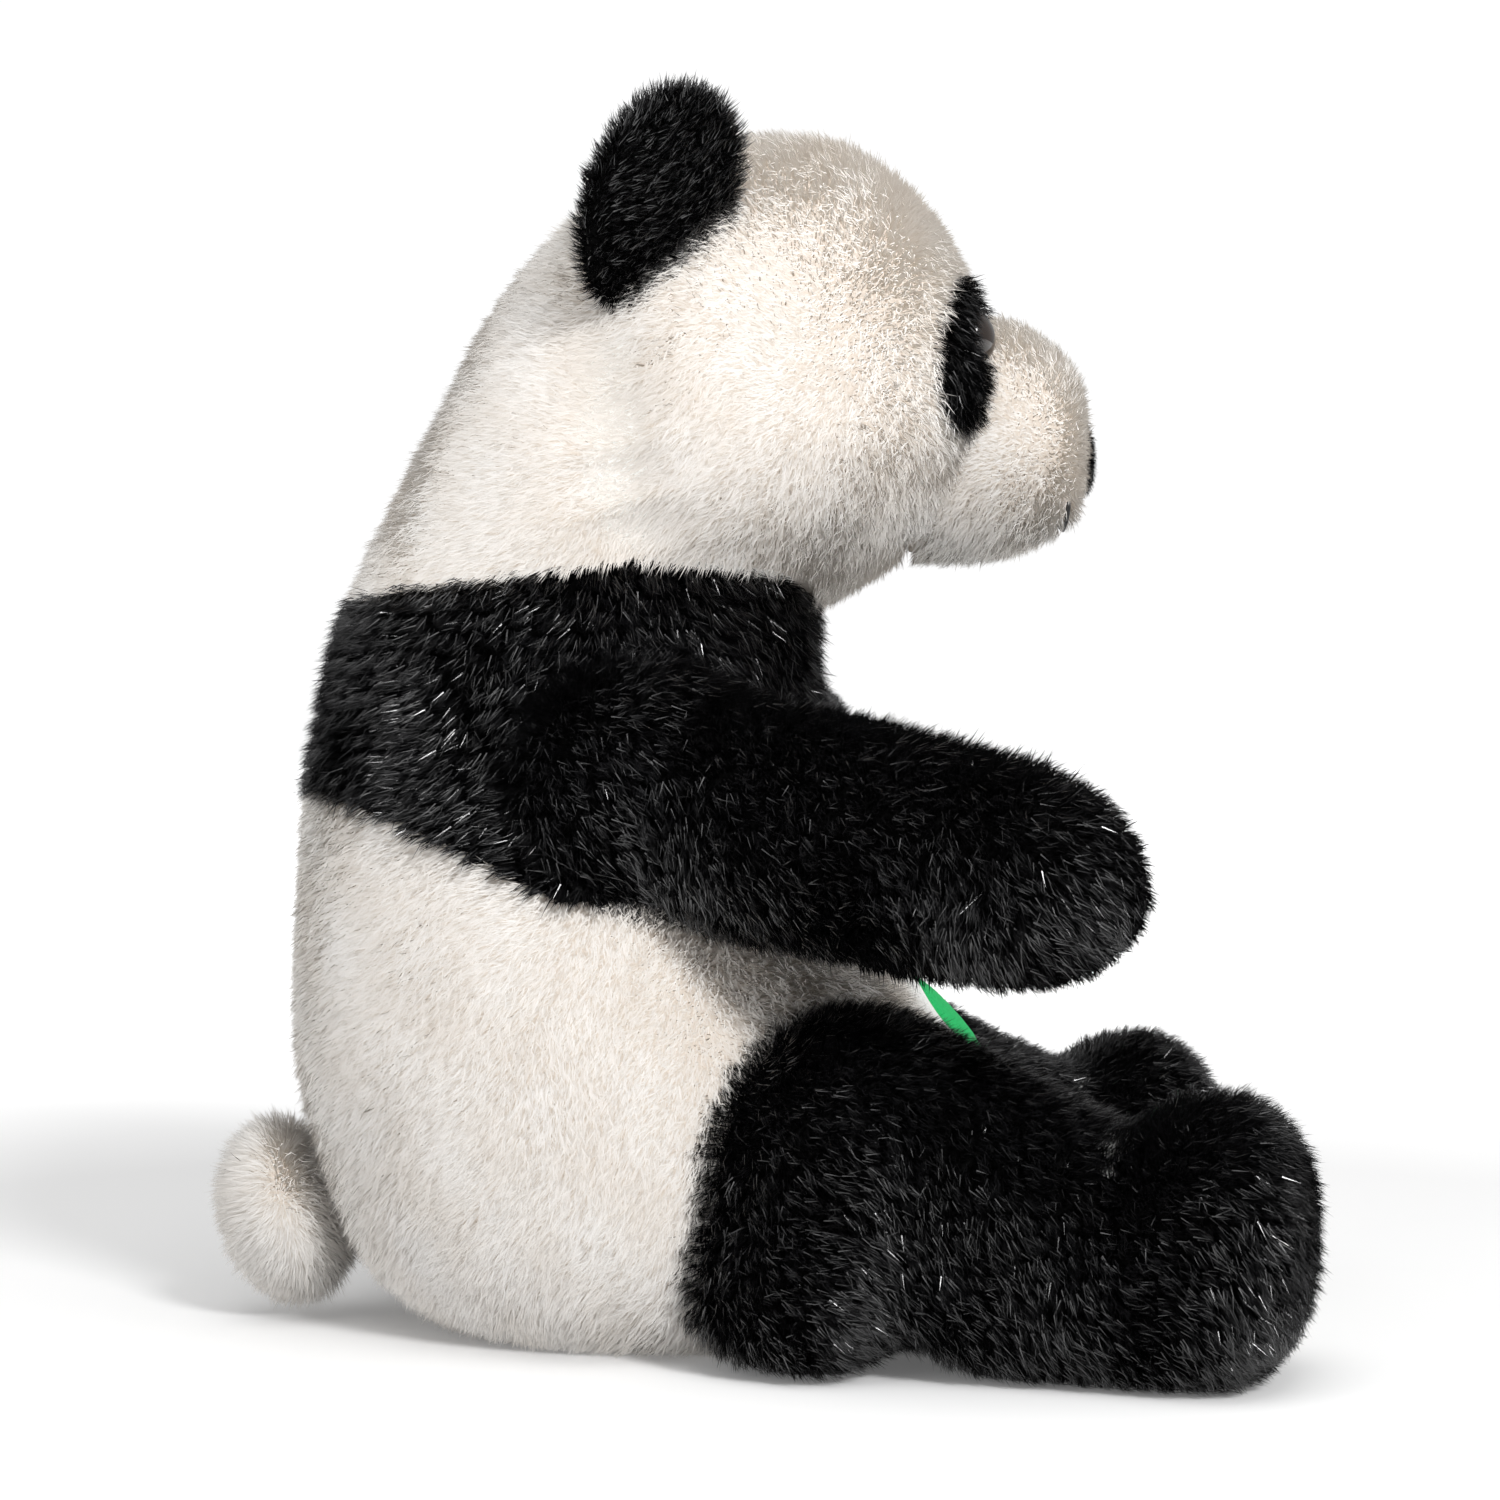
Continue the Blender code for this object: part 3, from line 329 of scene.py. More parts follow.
def tufts(points, size, seed):
    """For each point, the nearest of a set of scattered middles, one in each cube of a lattice,
    and that middle's three random numbers."""
    base = np.floor(points / size - 0.5)
    best = np.full(len(points), 1e9)
    middle, chance = np.zeros_like(points), np.zeros_like(points)
    for corner in range(8):
        cell = base + np.array([corner & 1, corner >> 1 & 1, corner >> 2])
        random = scattered(cell, seed)
        place = (cell + 0.15 + 0.7 * random) * size
        distance = ((place - points) ** 2).sum(axis=1)
        closer = distance < best
        best = np.where(closer, distance, best)
        middle[closer], chance[closer] = place[closer], random[closer]
    return middle, chance


def ripple(points, size, seed):
    """A smooth random value from about -1 to 1: the mean of six sine waves in random directions."""
    rng = np.random.default_rng(seed)
    ways = unit(rng.normal(size=(6, 3))) * rng.uniform(0.6, 1.6, (6, 1)) * 2 * math.pi / size
    return np.sin(points @ ways.T + rng.uniform(0, 6.3, 6)).sum(axis=1) / 2.4


GUARD_SHARE = 0.25  # long curved fibres; the rest are short straight ones below them
SHORT_LENGTH = 0.84  # a short fibre's length as a share of a long one's
BEND_WIDTH = 0.8  # a long fibre's width at its bend as a share of its root's
MOST_ROLL = 38  # degrees by which a fibre may be rolled about its own length
MOST_TRIANGLES = 198000


def pile(
    name, grid, finish, comb, seed, density=4.6, length=6.4, width=0.4, lean=(12, 52),
    shown=None, shade=None, tuft=2.4, gather=0.35, floor=0.25, swirl=0.3, soft=0.08,
):
    """A pile of tapered fibres on a closed grid, as one mesh. Density is in fibres per square
    millimetre.

    Roots are spread evenly over the grid's area. A fibre leaves along the normal n leant by the
    first angle towards the combed direction c, turns to the second angle halfway, and its tip is
    drawn to the middle of its tuft: root, root + L/2 (n cos p + c sin p), then + L/2
    (n cos q + c sin q). shown gives each root's share of pile, and shade its painted shade, a
    darkening of its tone where shade falls. A fibre is lit as soft * n + (1 - soft) * its own
    normal, because real pile lets light through.
    """
    rng = np.random.default_rng(seed)
    normal = outward(grid)
    a, b, c, d = grid[:-1, :-1], grid[1:, :-1], grid[:-1, 1:], grid[1:, 1:]
    area = np.linalg.norm(np.cross(b - a, c - a), axis=2)
    area = (area + np.linalg.norm(np.cross(b - d, c - d), axis=2)) / 2
    if shown is not None:
        corners = [shown(corner.reshape(-1, 3)).reshape(area.shape) for corner in (a, b, c, d)]
        area = area * (np.max(corners, axis=0) > 0)
    total = area.sum()
    count = int(total * density)
    running = np.cumsum(area.ravel())
    pick = np.searchsorted(running, (np.arange(count) + rng.random(count)) / count * total)
    pick = np.minimum(pick, area.size - 1)
    rng.shuffle(pick)
    row, column = np.divmod(pick, area.shape[1])
    u, v = rng.random((2, count, 1))

    def on(values):
        """The grid's values at the roots, each between the four corners of its face."""
        low = values[row, column] * (1 - v) + values[row, column + 1] * v
        high = values[row + 1, column] * (1 - v) + values[row + 1, column + 1] * v
        return low * (1 - u) + high * u

    root, up = on(grid), unit(on(normal))
    if shown is not None:
        kept = shown(root) > rng.random(count)
        root, up = root[kept], up[kept]
    most = int(MOST_TRIANGLES / (1 + 2 * GUARD_SHARE))
    root, up = root[:most], up[:most]
    count = len(root)

    stray = np.stack([ripple(root, 9, k) for k in range(3)], axis=1)
    middle, chance = tufts(root + 0.8 * stray, tuft, 1.7)
    way = comb(root, up)
    way = unit(way - up * (way * up).sum(axis=1, keepdims=True))
    side = np.cross(up, way)
    drift = 1.3 * ripple(root, 45, 5) + 0.8 * (chance[:, 0] * 2 - 1)
    turn = (swirl * (drift + rng.normal(size=count)))[:, None]
    way = way * np.cos(turn) + side * np.sin(turn)
    side = np.cross(up, way)

    guards = int(count * GUARD_SHARE)
    guard = (np.arange(count) < guards)[:, None]
    size = length * (0.86 + 0.28 * chance[:, 1:2]) * rng.uniform(0.8, 1.12, (count, 1))
    size = np.where(guard, size, size * SHORT_LENGTH)
    first = np.radians(lean[0]) * rng.uniform(0.4, 1.6, (count, 1))
    second = np.radians(lean[1]) + 0.22 * rng.normal(size=(count, 1)) + 0.2 * (chance[:, 2:3] - 0.5)
    first = np.where(guard, first, (first + second) / 2)
    second = np.where(guard, second, first)
    drawn = middle - root
    drawn -= up * (drawn * up).sum(axis=1, keepdims=True)
    bend = root + size * 0.5 * (up * np.cos(first) + way * np.sin(first)) + drawn * gather * 0.3
    tip = bend + size * 0.5 * (up * np.cos(second) + way * np.sin(second)) + drawn * gather * 0.7
    roll = np.radians(rng.uniform(-MOST_ROLL, MOST_ROLL, (count, 1)))
    face = unit(np.cross(side, tip - root))
    across = unit(side * np.cos(roll) + face * np.sin(roll)) * width / 2
    left, right = root - across, root + across
    lowest = floor + 0.5 * rng.random((count, 1))
    for points in (left, right, bend, tip):
        points[:, 2:] = np.maximum(points[:, 2:], lowest)

    # A long fibre has five points and three triangles, and a short one is a single triangle.
    bend_left, bend_right = bend - across * BEND_WIDTH, bend + across * BEND_WIDTH
    long = np.stack([end[:guards] for end in (left, right, bend_left, bend_right, tip)], axis=1)
    short = np.stack([end[guards:] for end in (left, right, tip)], axis=1)
    points = np.concatenate([long.reshape(-1, 3), short.reshape(-1, 3)])
    first_of = np.arange(guards)[:, None] * 5
    long_faces = (first_of[:, None] + np.array([[0, 1, 3], [0, 3, 2], [2, 3, 4]])).reshape(-1, 3)
    short_faces = guards * 5 + np.arange((count - guards) * 3).reshape(-1, 3)
    faces = np.concatenate([long_faces, short_faces])
    # Every face is wound so that its front looks away from the body.
    owner = np.concatenate([np.repeat(np.arange(guards), 3), np.arange(guards, count)])
    p, q, r = (points[faces[:, corner]] for corner in range(3))
    own = unit(np.cross(q - p, r - p))
    inward = (own * up[owner]).sum(axis=1) < 0
    faces[inward] = faces[inward][:, ::-1]
    own[inward] *= -1
    tone = 0.55 + 0.2 * ripple(root, 30, 9) + 0.2 * (chance[:, 2] - 0.5)
    tone = tone + 0.17 * rng.normal(size=count)
    # Painted shade: shade lowers a fibre's tone, towards the darker warm colour, where shade falls.
    if shade is not None:
        tone = tone - shade(root)
    tone = np.clip(tone, 0.01, 0.99)
    # On the map a fibre's tone runs across, and root, bend and tip lie one above another.
    along_long = np.tile([0.02, 0.02, 0.5, 0.5, 0.98], guards)
    along_short = np.tile([0.02, 0.02, 0.86], count - guards)
    across_map = np.concatenate([np.repeat(tone[:guards], 5), np.repeat(tone[guards:], 3)])
    layout = np.stack([across_map, np.concatenate([along_long, along_short])], axis=1)

    mesh = bpy.data.meshes.new(name)
    mesh.vertices.add(len(points))
    mesh.vertices.foreach_set("co", (points * MM).astype(np.float32).ravel())
    mesh.loops.add(faces.size)
    mesh.loops.foreach_set("vertex_index", faces.astype(np.int32).ravel())
    mesh.polygons.add(len(faces))
    mesh.polygons.foreach_set("loop_start", np.arange(0, faces.size, 3, dtype=np.int32))
    mesh.update(calc_edges=True)
    fibre_map = mesh.uv_layers.new(name="OFBake").data
    fibre_map.foreach_set("uv", layout[faces.ravel()].astype(np.float32).ravel())
    mesh.materials.append(finish)
    lit = unit(soft * up[owner] + (1 - soft) * own)
    mesh.normals_split_custom_set(np.repeat(lit, 3, axis=0).tolist())
    piece = in_scene(name, mesh)
    piece.visible_shadow = soft < 0.5  # pale pile lets the light through to the fibres below it
    return piece


def sunk(grid, depth=BACKING_DEPTH):
    """The grid moved in along its normals."""
    return grid - outward(grid) * depth


angle = np.linspace(0, 2 * math.pi, COLUMNS + 1)
# The seam between the white cover and the yoke is lowest under the arms, and rises further to
# the middle of the back than to the middle of the front.
SEAM_LOWEST, SEAM_BACK_RISE, SEAM_FRONT_RISE = 107, 25, 13
from_side = np.abs(np.abs(angle - math.pi) / (math.pi / 2) - 1)
at_back = np.cos(angle) < 0
back_rise, front_rise = SEAM_BACK_RISE * (1 - (1 - from_side) ** 2.6), SEAM_FRONT_RISE * from_side**2
yoke_edge = SEAM_LOWEST + np.where(at_back, back_rise, front_rise)
torso = sunk(level_rings(TORSO_ROWS, ROWS, COLUMNS))
torso[:, :, 2] = np.maximum(torso[:, :, 2], LOWEST_BACKING)
torso_low = rows_between(torso, 0 * angle, row_at_height(torso, yoke_edge), 60)


def hem(grid, inward=SEAM_ALLOWANCE, at_end=True):
    """The grid with its open edge turned in towards its own middle, as a seam allowance is."""
    edge = grid[-1:] if at_end else grid[:1]
    middle = edge.mean(axis=1, keepdims=True)
    turned = edge + unit(middle - edge) * inward
    middle = middle + 0 * edge
    return np.concatenate([grid, turned, middle] if at_end else [middle, turned, grid])


def closed_below(grid):
    """The grid with its lowest ring drawn in to a point at its middle."""
    middle = grid[:1].mean(axis=1, keepdims=True)
    return np.concatenate([middle + 0 * grid[:1], (middle + grid[:1]) / 2, grid])


torso_cover = sewn_cover(
    "torso_cover_backing", closed_below(hem(torso_low)), SHADED_WHITE_BACKING,
    ["torso_cover_left", "torso_cover_right", "base_panel"],
)
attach(torso_cover, "torso")


def down_and_back(points, up):
    """Combed down the body and a little to the back."""
    return np.array([0.0, 0.45, -1.0]) + 0 * points


def outside_pair(points, middle, radius, upright=1.0):
    """0 within a radius of the middle or of its mirror image, and 1 elsewhere. Heights count by
    the share upright."""
    ways = [(points - middle * [s, 1, 1]) * [1, 1, upright] for s in (1, -1)]
    inside = [np.linalg.norm(way, axis=1) < radius for way in ways]
    return 1.0 - (inside[0] | inside[1])


def outside_hips(points):
    """1 outside both legs' sewn-on ends, and 0 well inside them."""
    return outside_pair(points, HIP, 30, 0.95)


LEAF_HEIGHT = 75


def off_leaf(points):
    """0 where the green leaf is sewn to the belly."""
    inside = np.hypot(points[:, 0] / 18, (points[:, 2] - LEAF_HEIGHT) / 12.5) < 1
    return 1.0 - (inside & (points[:, 1] < 0))


def torso_painted_shade(points):
    """Painted shade: darker where shade falls in the folds of the cover, under the arms and round the
    legs.
    """
    under_arms = near(points, [(s * 62, 10, 112) for s in (1, -1)], 30)
    round_legs = near(points, [(s * 70, -8, 70) for s in (1, -1)], 26)
    return 0.35 * under_arms + 0.25 * round_legs


for side, word in SIDES:
    part = pile(
        f"torso_pile_{word}", torso_low, WHITE_PILE, down_and_back, 10 + side,
        shown=lambda p, s=side: outside_hips(p) * off_leaf(p) * (p[:, 0] * s >= 0),
        # Painted shade under the arms and round the legs darkens the pile's tone.
        shade=torso_painted_shade, soft=WHITE_SOFT,
    )
    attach(part, "torso")
base_grid = closed_below(torso[:1])
base_grid = base_grid[:1] + (base_grid[-1:] - base_grid[:1]) * np.linspace(0, 1, 9)[:, None, None]
part = pile(
    "base_pile", base_grid, WHITE_PILE,
    lambda p, n: np.array([0.0, 1.0, 0.0]) + 0 * p, 14,
    density=1.6, length=5, lean=(80, 88), shown=outside_hips, soft=WHITE_SOFT,
)
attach(part, "torso")


# --- Yoke ------------------------------------------------------------------------------------
# A band of black plush round the chest, the shoulders and the back, in a left and a right half.
# It is sewn to the white cover along a line that dips under the arms.

BLACK_BACKING = backing_finish("black_knit_backing", (0.002, 0.002, 0.002), (0.006, 0.006, 0.006))
# Its darker root colour is painted shade deep in the pile.
BLACK_PILE = fibre_finish(
    "black_polyester_pile", (0.001, 0.001, 0.001), (0.0035, 0.0033, 0.0035), (0.010, 0.010, 0.011),
    root_share=0.6, roughness=0.25, gloss=0.8,
)
# Its upper seam is highest over the front of each shoulder.
YOKE_TOP, SHOULDER_RISE = 178.5, 8.5
turned = np.minimum(angle, 2 * math.pi - angle) / math.pi
yoke_top = YOKE_TOP + SHOULDER_RISE * np.sin(math.pi / 2 * (3 * turned) ** 0.63) ** 2
torso_high = rows_between(torso, row_at_height(torso, yoke_edge), row_at_height(torso, yoke_top), 34)
yoke = sewn_cover(
    "yoke_backing", hem(hem(torso_high), at_end=False), BLACK_BACKING,
    ["yoke_left", "yoke_right"],
)
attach(yoke, "torso")


for side, word in SIDES:
    part = pile(
        f"yoke_pile_{word}", torso_high, BLACK_PILE, down_and_back, 20 + side,
        length=8.2, tuft=4.6, gather=0.6,
        shown=lambda p, s=side: outside_pair(p, SHOULDER, 27) * (p[:, 0] * s >= 0),
    )
    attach(part, "torso")


# --- Head cover ------------------------------------------------------------------------------
# The head and the neck are one bag of white plush: two sides and a gusset over the crown. The
# cheeks are round, and a soft fold runs behind each of them down to the neck.

# Height, reach forward, reach back, half width.
HEAD_ROWS = [
    (168, 9, 102, 49),
    (178, 15, 98, 52),
    (184, 25, 95.5, 54),
    (192, 37, 92, 57.5),
    (202, 47, 87, 61),
    (214, 53.5, 81, 63.5),
    (228, 56, 73.5, 64),
    (242, 55.5, 66.5, 62.5),
    (254, 53, 58.5, 59),
    (266, 47.5, 49, 53),
    (276, 40, 38, 45),
    (284, 31, 25, 35),
    (289.5, 22, 10, 22),
    (292.5, 8, -8, 0),
]
FACE_SQUARENESS = 0.8
CHEEK_SIDE = 62
head = sunk(level_rings(HEAD_ROWS, ROWS, COLUMNS, FACE_SQUARENESS))
head_front = row_at_height(head, yoke_top)
head = rows_between(head, head_front, ROWS - 1 + 0 * angle, 96)
fold_line = ((22, 180), (27, 192), (31, 206), (34, 220), (38, 234))
cheek_fold = [(s * CHEEK_SIDE, y, z) for s in (1, -1) for y, z in fold_line]
head = swell(head, [(s * CHEEK_SIDE, -6, 207) for s in (1, -1)], 30, 3.0)
head = swell(head, cheek_fold, 13, -6.5)
cover = sewn_cover(
    "head_cover_backing", hem(head, at_end=False), SHADED_WHITE_BACKING,
    ["head_cover_left", "head_cover_right", "head_gusset"],
)
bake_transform(cover)

# Each eye patch is an oval, given by its middle (x, height), half sizes and tilt.
PATCH_MIDDLE = (33, 237)
PATCH_HALF = (13, 19)
PATCH_TILT = math.radians(24)


def in_patch(points):
    """Below 1 inside the oval of either eye patch, seen from the front."""
    x, z = np.abs(points[:, 0]) - PATCH_MIDDLE[0], points[:, 2] - PATCH_MIDDLE[1]
    across = x * math.cos(PATCH_TILT) + z * math.sin(PATCH_TILT)
    up = -x * math.sin(PATCH_TILT) + z * math.cos(PATCH_TILT)
    size = np.hypot(across / PATCH_HALF[0], up / PATCH_HALF[1])
    return np.where(points[:, 1] < 0, size, 9.0)


def under_muzzle(points):
    """Whether a point of the face is covered by the muzzle."""
    return (np.hypot(points[:, 0] / 25, (points[:, 2] - 218) / 25) < 1) & (points[:, 1] < -20)


def head_shown(points):
    """1 where the head's white pile shows, and 0 under the eye patches and the muzzle."""
    return 1.0 * (in_patch(points) > 0.97) * ~under_muzzle(points)


def head_comb(points, up):
    """Combed back from the face, and down the neck."""
    return np.array([0.0, 1.0, -0.75]) + 0 * points


def head_painted_shade(points):
    """Painted shade: darker where shade falls in the fold behind each cheek and under the chin."""
    chin = near(points, [(x, -12, 182) for x in (-30, 0, 30)], 22)
    return 0.8 * near(points, cheek_fold, 15) + 0.5 * chin


for side, word in SIDES:
    part = pile(
        f"head_pile_{word}", head, WHITE_PILE, head_comb, 30 + side,
        # Painted shade in the cheek folds and under the chin darkens the pile's tone.
        shown=lambda p, s=side: head_shown(p) * (p[:, 0] * s >= 0), shade=head_painted_shade,
        length=6.2, soft=WHITE_SOFT,
    )
    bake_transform(part)


# --- Muzzle ----------------------------------------------------------------------------------
# A short round snout of white plush, sewn to the front of the head and stuffed.

# Reach forward, height of the middle, half height, half width.
MUZZLE_ROWS = [
    (40, 219.5, 29.5, 28),
    (58, 219.5, 29, 29),
    (66, 219.5, 27.5, 28.5),
    (73, 219, 24, 26.5),
    (78, 218, 20, 23),
    (81, 217, 15, 17),
    (82, 216, 0, 0),
]
muzzle = sunk(forward_rings(MUZZLE_ROWS, 44, 72))
cover = sewn_cover(
    "muzzle_backing", hem(muzzle, at_end=False), SHADED_WHITE_BACKING, ["muzzle_cover"]
)
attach(cover, "head")
MOUTH_REACH = 77.5
NOSE_HEIGHT = 214.5


def mouth_clear(points):
    """The pile is left off a thin line round the lower front, where the mouth is stitched, and
    off the place of the nose."""
    low = (points[:, 2] < 208) & (np.abs(points[:, 0]) < 15)
    line = (np.abs(-points[:, 1] - MOUTH_REACH) < 0.9) & low
    nose_place = np.hypot(points[:, 0] / 9, (points[:, 2] - NOSE_HEIGHT) / 8) < 1
    nose_place = nose_place & (points[:, 1] < -76)
    return 1.0 * ~(line | nose_place) * (points[:, 1] < -42)


part = pile(
    "muzzle_pile", muzzle, WHITE_PILE,
    lambda p, n: np.array([0.0, 1.0, -0.1]) + n * [0.6, 0, 0.6], 33,
    length=5.2, shown=mouth_clear, soft=WHITE_SOFT,
)
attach(part, "head")


# --- Nose and mouth --------------------------------------------------------------------------
# The nose is a small oval pad of black plush with a short pile, and the mouth is one line of
# black thread.

# Reach forward, height of the middle, half height, half width.
NOSE_ROWS = [
    (77, NOSE_HEIGHT, 8.5, 10),
    (82.6, NOSE_HEIGHT, 7.8, 9.2),
    (84, NOSE_HEIGHT, 4.5, 5.5),
    (84.4, NOSE_HEIGHT, 0, 0),
]
nose = forward_rings(NOSE_ROWS, 20, 40)
cover = sewn_cover("nose_pad", hem(nose, 2, at_end=False), BLACK_BACKING, ["nose"])
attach(cover, "head")
part = pile(
    "nose_pile", nose, BLACK_PILE, lambda p, n: n * [1, 0, 1] + [0, 0, -0.3], 36,
    density=9, length=3.0, width=0.3, lean=(20, 55), tuft=1.5,
)
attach(part, "head")


def toned_finish(name, texture, scale, dark, light, roughness, relief=None):
    """A material in two tones that one texture mixes, with its texture and its shader. Relief is
    the depth in metres to which the texture also shapes the surface."""
    finish, nodes, links, shader = plain_finish(name, roughness)
    kinds = ("TexCoord", texture, "ValToRGB")
    place, grain, tone = (nodes.new("ShaderNode" + kind) for kind in kinds)
    grain.inputs["Scale"].default_value = scale
    tone.color_ramp.elements[0].color = (*dark, 1)
    tone.color_ramp.elements[1].color = (*light, 1)
    links.new(place.outputs["Object"], grain.inputs["Vector"])
    links.new(grain.outputs["Fac"], tone.inputs["Fac"])
    links.new(tone.outputs["Color"], shader.inputs["Base Color"])
    if relief:
        links.new(bump(nodes, links, grain.outputs["Fac"], relief), shader.inputs["Normal"])
    return finish, grain, shader


def refinish(node, finish):
    """A node of the model in a new material."""
    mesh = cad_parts[node].data
    mesh.materials.clear()
    mesh.materials.append(finish)


# Twisted black cotton has a fine diagonal wave.
THREAD, twist, _ = toned_finish(
    "black_cotton_thread", "TexWave", 500, (0.004, 0.004, 0.004), (0.02, 0.02, 0.02), 0.7, relief=0.0002
)
twist.bands_direction = "DIAGONAL"
refinish("mouth_stitch", THREAD)


# --- Eye patches and eyes --------------------------------------------------------------------
# Each eye patch is an oval of black plush sewn over the face. The eye is a glossy plastic dome
# whose shank goes through the patch and the cover into a washer inside the head.

EYE_MIDDLE = (28, 242)
PATCH_LIFT = 1.6  # how far the middle of a patch stands off the head
PATCH_SKIRT = 3  # how far its edge is turned in


def ring_at(rows, heights):
    """The forward reach, the reach back and the half width of an oval ring at given heights."""
    height, *sizes = smooth_rows(rows, ROWS).T
    return [np.interp(heights, height, size) for size in sizes]


def patch_grid(side):
    """Rings spreading from the patch's middle over the head: x and z run over a tilted oval, and
    y is where the front of the head's ring stands at that height, -(front - back) / 2
    - (front + back) / 2 * (1 - (x / half width)^p)^(1 / p)."""
    rim = np.linspace(0, 2 * math.pi, 49)
    spread = np.linspace(0, 1, 14)[:, None]
    across, up = PATCH_HALF[0] * spread * np.sin(rim), PATCH_HALF[1] * spread * np.cos(rim)
    x = PATCH_MIDDLE[0] + across * math.cos(PATCH_TILT) - up * math.sin(PATCH_TILT)
    z = PATCH_MIDDLE[1] + across * math.sin(PATCH_TILT) + up * math.cos(PATCH_TILT)
    forward, behind, half = ring_at(HEAD_ROWS, z)
    power = 2 + FACE_SQUARENESS * np.clip((z - SQUARE_FROM) / SQUARE_OVER, 0, 1)
    depth = (1 - np.minimum(np.abs(x / half), 1) ** power) ** (1 / power)
    y = -(forward - behind) / 2 - (forward + behind) / 2 * depth
    grid = np.stack([x * side, y, z], axis=2)
    return grid + np.array([0.0, -1.0, 0.0]) * PATCH_LIFT * (1 - spread**6)[..., None]


def round_eye(points):
    """1 outside the rim of either eye, and 0 under it."""
    across, up = np.abs(points[:, 0]) - EYE_MIDDLE[0], points[:, 2] - EYE_MIDDLE[1]
    return 1.0 * (np.hypot(across, up) > 6.5)


for side, word in SIDES:
    grid = patch_grid(side)
    if side < 0:
        grid = grid[:, ::-1]
    cover = sewn_cover(
        f"eye_patch_backing_{word}", np.concatenate([grid, grid[-1:] + [0, PATCH_SKIRT, 0]]),
        BLACK_BACKING, [f"eye_patch_{word}"],
    )
    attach(cover, "head")
    part = pile(
        f"eye_patch_pile_{word}", grid, BLACK_PILE,
        lambda p, n, s=side: np.array([0.5 * s, 0.4, -0.8]) + 0 * p, 40 + side,
        length=6.5, lean=(22, 52), shown=round_eye,
    )
    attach(part, "head")


# Dark brown plastic, faintly cloudy below a clear gloss.
EYE_PLASTIC, _, shader = toned_finish(
    "polished_eye_plastic", "TexNoise", 400, (0.004, 0.002, 0.001), (0.020, 0.009, 0.004), 0.08
)
shader.inputs["Coat Weight"].default_value = 0.6
EYE_RADIUS = 6.2
EYE_RISE = 4.4  # how far the dome stands out from its rim
EYE_SKIRT = 5.0  # how far its side goes in below the rim
for side, word in SIDES:
    facing = unit(np.array([0.42 * side, -1.0, 0.18]))
    across = unit(np.cross(facing, [0, 0, 1]))
    upward = np.cross(across, facing)
    tilt = np.linspace(0, math.pi / 2, 12)[:, None]
    round_it = np.linspace(0, 2 * math.pi, 33)
    # A dome: radius * sin t out from its axis, and a flatter cos t along it, then a short skirt.
    rise = EYE_RISE * np.cos(tilt) + 0 * round_it
    out = EYE_RADIUS * np.sin(tilt) + 0 * round_it
    rise = np.vstack([rise, np.full_like(round_it, -EYE_SKIRT)])
    out = np.vstack([out, np.full_like(round_it, EYE_RADIUS)])
    patch = patch_grid(side)
    flat = np.hypot(patch[:, :, 0] - EYE_MIDDLE[0] * side, patch[:, :, 2] - EYE_MIDDLE[1])
    seat = patch.reshape(-1, 3)[flat.argmin()]
    dome = (
        seat + rise[..., None] * facing + (out * np.cos(round_it))[..., None] * across
        + (out * np.sin(round_it))[..., None] * upward
    )
    back = dome[-1:].mean(axis=1, keepdims=True) + 0 * dome[-1:]
    eye = sewn_cover(
        f"eye_dome_{word}", np.concatenate([dome, back]), EYE_PLASTIC, [f"eye_{word}"]
    )
    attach(eye, "head")


# --- Ears ------------------------------------------------------------------------------------
# Each ear is a flat oval of black plush, a front and a back panel sewn round the edge and turned
# right side out. It stands on the side of the head and its rim curls forward a little.

EAR_ROOT = np.array([53.0, 29.0, 251.5])
EAR_HALF = (17.0, 6.0, 25.5)  # half sizes across, through and up
EAR_MIDDLE = 20  # height of an ear's middle above its root
EAR_CURL = 3.5  # how far its side edges come forward


def turn_about(axis, degrees):
    """The 3 by 3 matrix of a turn about one axis, by the usual sines and cosines."""
    a = math.radians(degrees)
    first, second = {"x": (1, 2), "y": (2, 0), "z": (0, 1)}[axis]
    matrix = np.eye(3)
    matrix[first, first] = matrix[second, second] = math.cos(a)
    matrix[first, second], matrix[second, first] = -math.sin(a), math.sin(a)
    return matrix


def placed(grid, pivot, turn):
    """The grid turned about the origin and moved to its pivot."""
    return np.asarray(pivot) + grid @ turn.T


climb = np.linspace(0, math.pi, 40)[:, None]
round_it = np.linspace(0, 2 * math.pi, 49)
ear_grid = np.stack(
    [
        EAR_HALF[0] * np.sin(climb) ** 0.85 * np.sin(round_it),
        -EAR_HALF[1] * np.sin(climb) * np.cos(round_it),
        EAR_MIDDLE - EAR_HALF[2] * np.cos(climb) + 0 * round_it,
    ],
    axis=2,
)
above_middle = np.maximum(ear_grid[:, :, 2] - EAR_MIDDLE, 0)
ear_grid[:, :, 1] -= EAR_CURL * ((ear_grid[:, :, 0] / EAR_HALF[0]) ** 2 + above_middle**2 / 30**2)
for side, word in SIDES:
    # It faces 62 degrees out from straight ahead, and leans 20 degrees forward and 9 out.
    turn = turn_about("y", 9 * side) @ turn_about("x", 20) @ turn_about("z", 62 * side)
    root = EAR_ROOT * [side, 1, 1]
    ear = placed(ear_grid, root, turn)
    upright = turn @ np.array([0, 0, 1.0])
    cover = sewn_cover(
        f"ear_backing_{word}", ear, BLACK_BACKING,
        [f"ear_{word}_front", f"ear_{word}_back"],
    )
    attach(cover, f"ear_{word}")
    part = pile(
        f"ear_pile_{word}", ear, BLACK_PILE, lambda p, n: upright - 0.4 * n, 50 + side,
        density=6, length=5.4, lean=(14, 42), tuft=2.6, gather=0.5,
    )
    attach(part, f"ear_{word}")


# --- Arms ------------------------------------------------------------------------------------
# Each arm is a sleeve of black plush, an outer and an inner panel, that grows out of a round
# shoulder and ends in a blunt paw. It is stuffed and sewn to the yoke.

SHOULDER_RADIUS = 34
ARM_START = 16  # how far from the joint the round shoulder turns into the sleeve
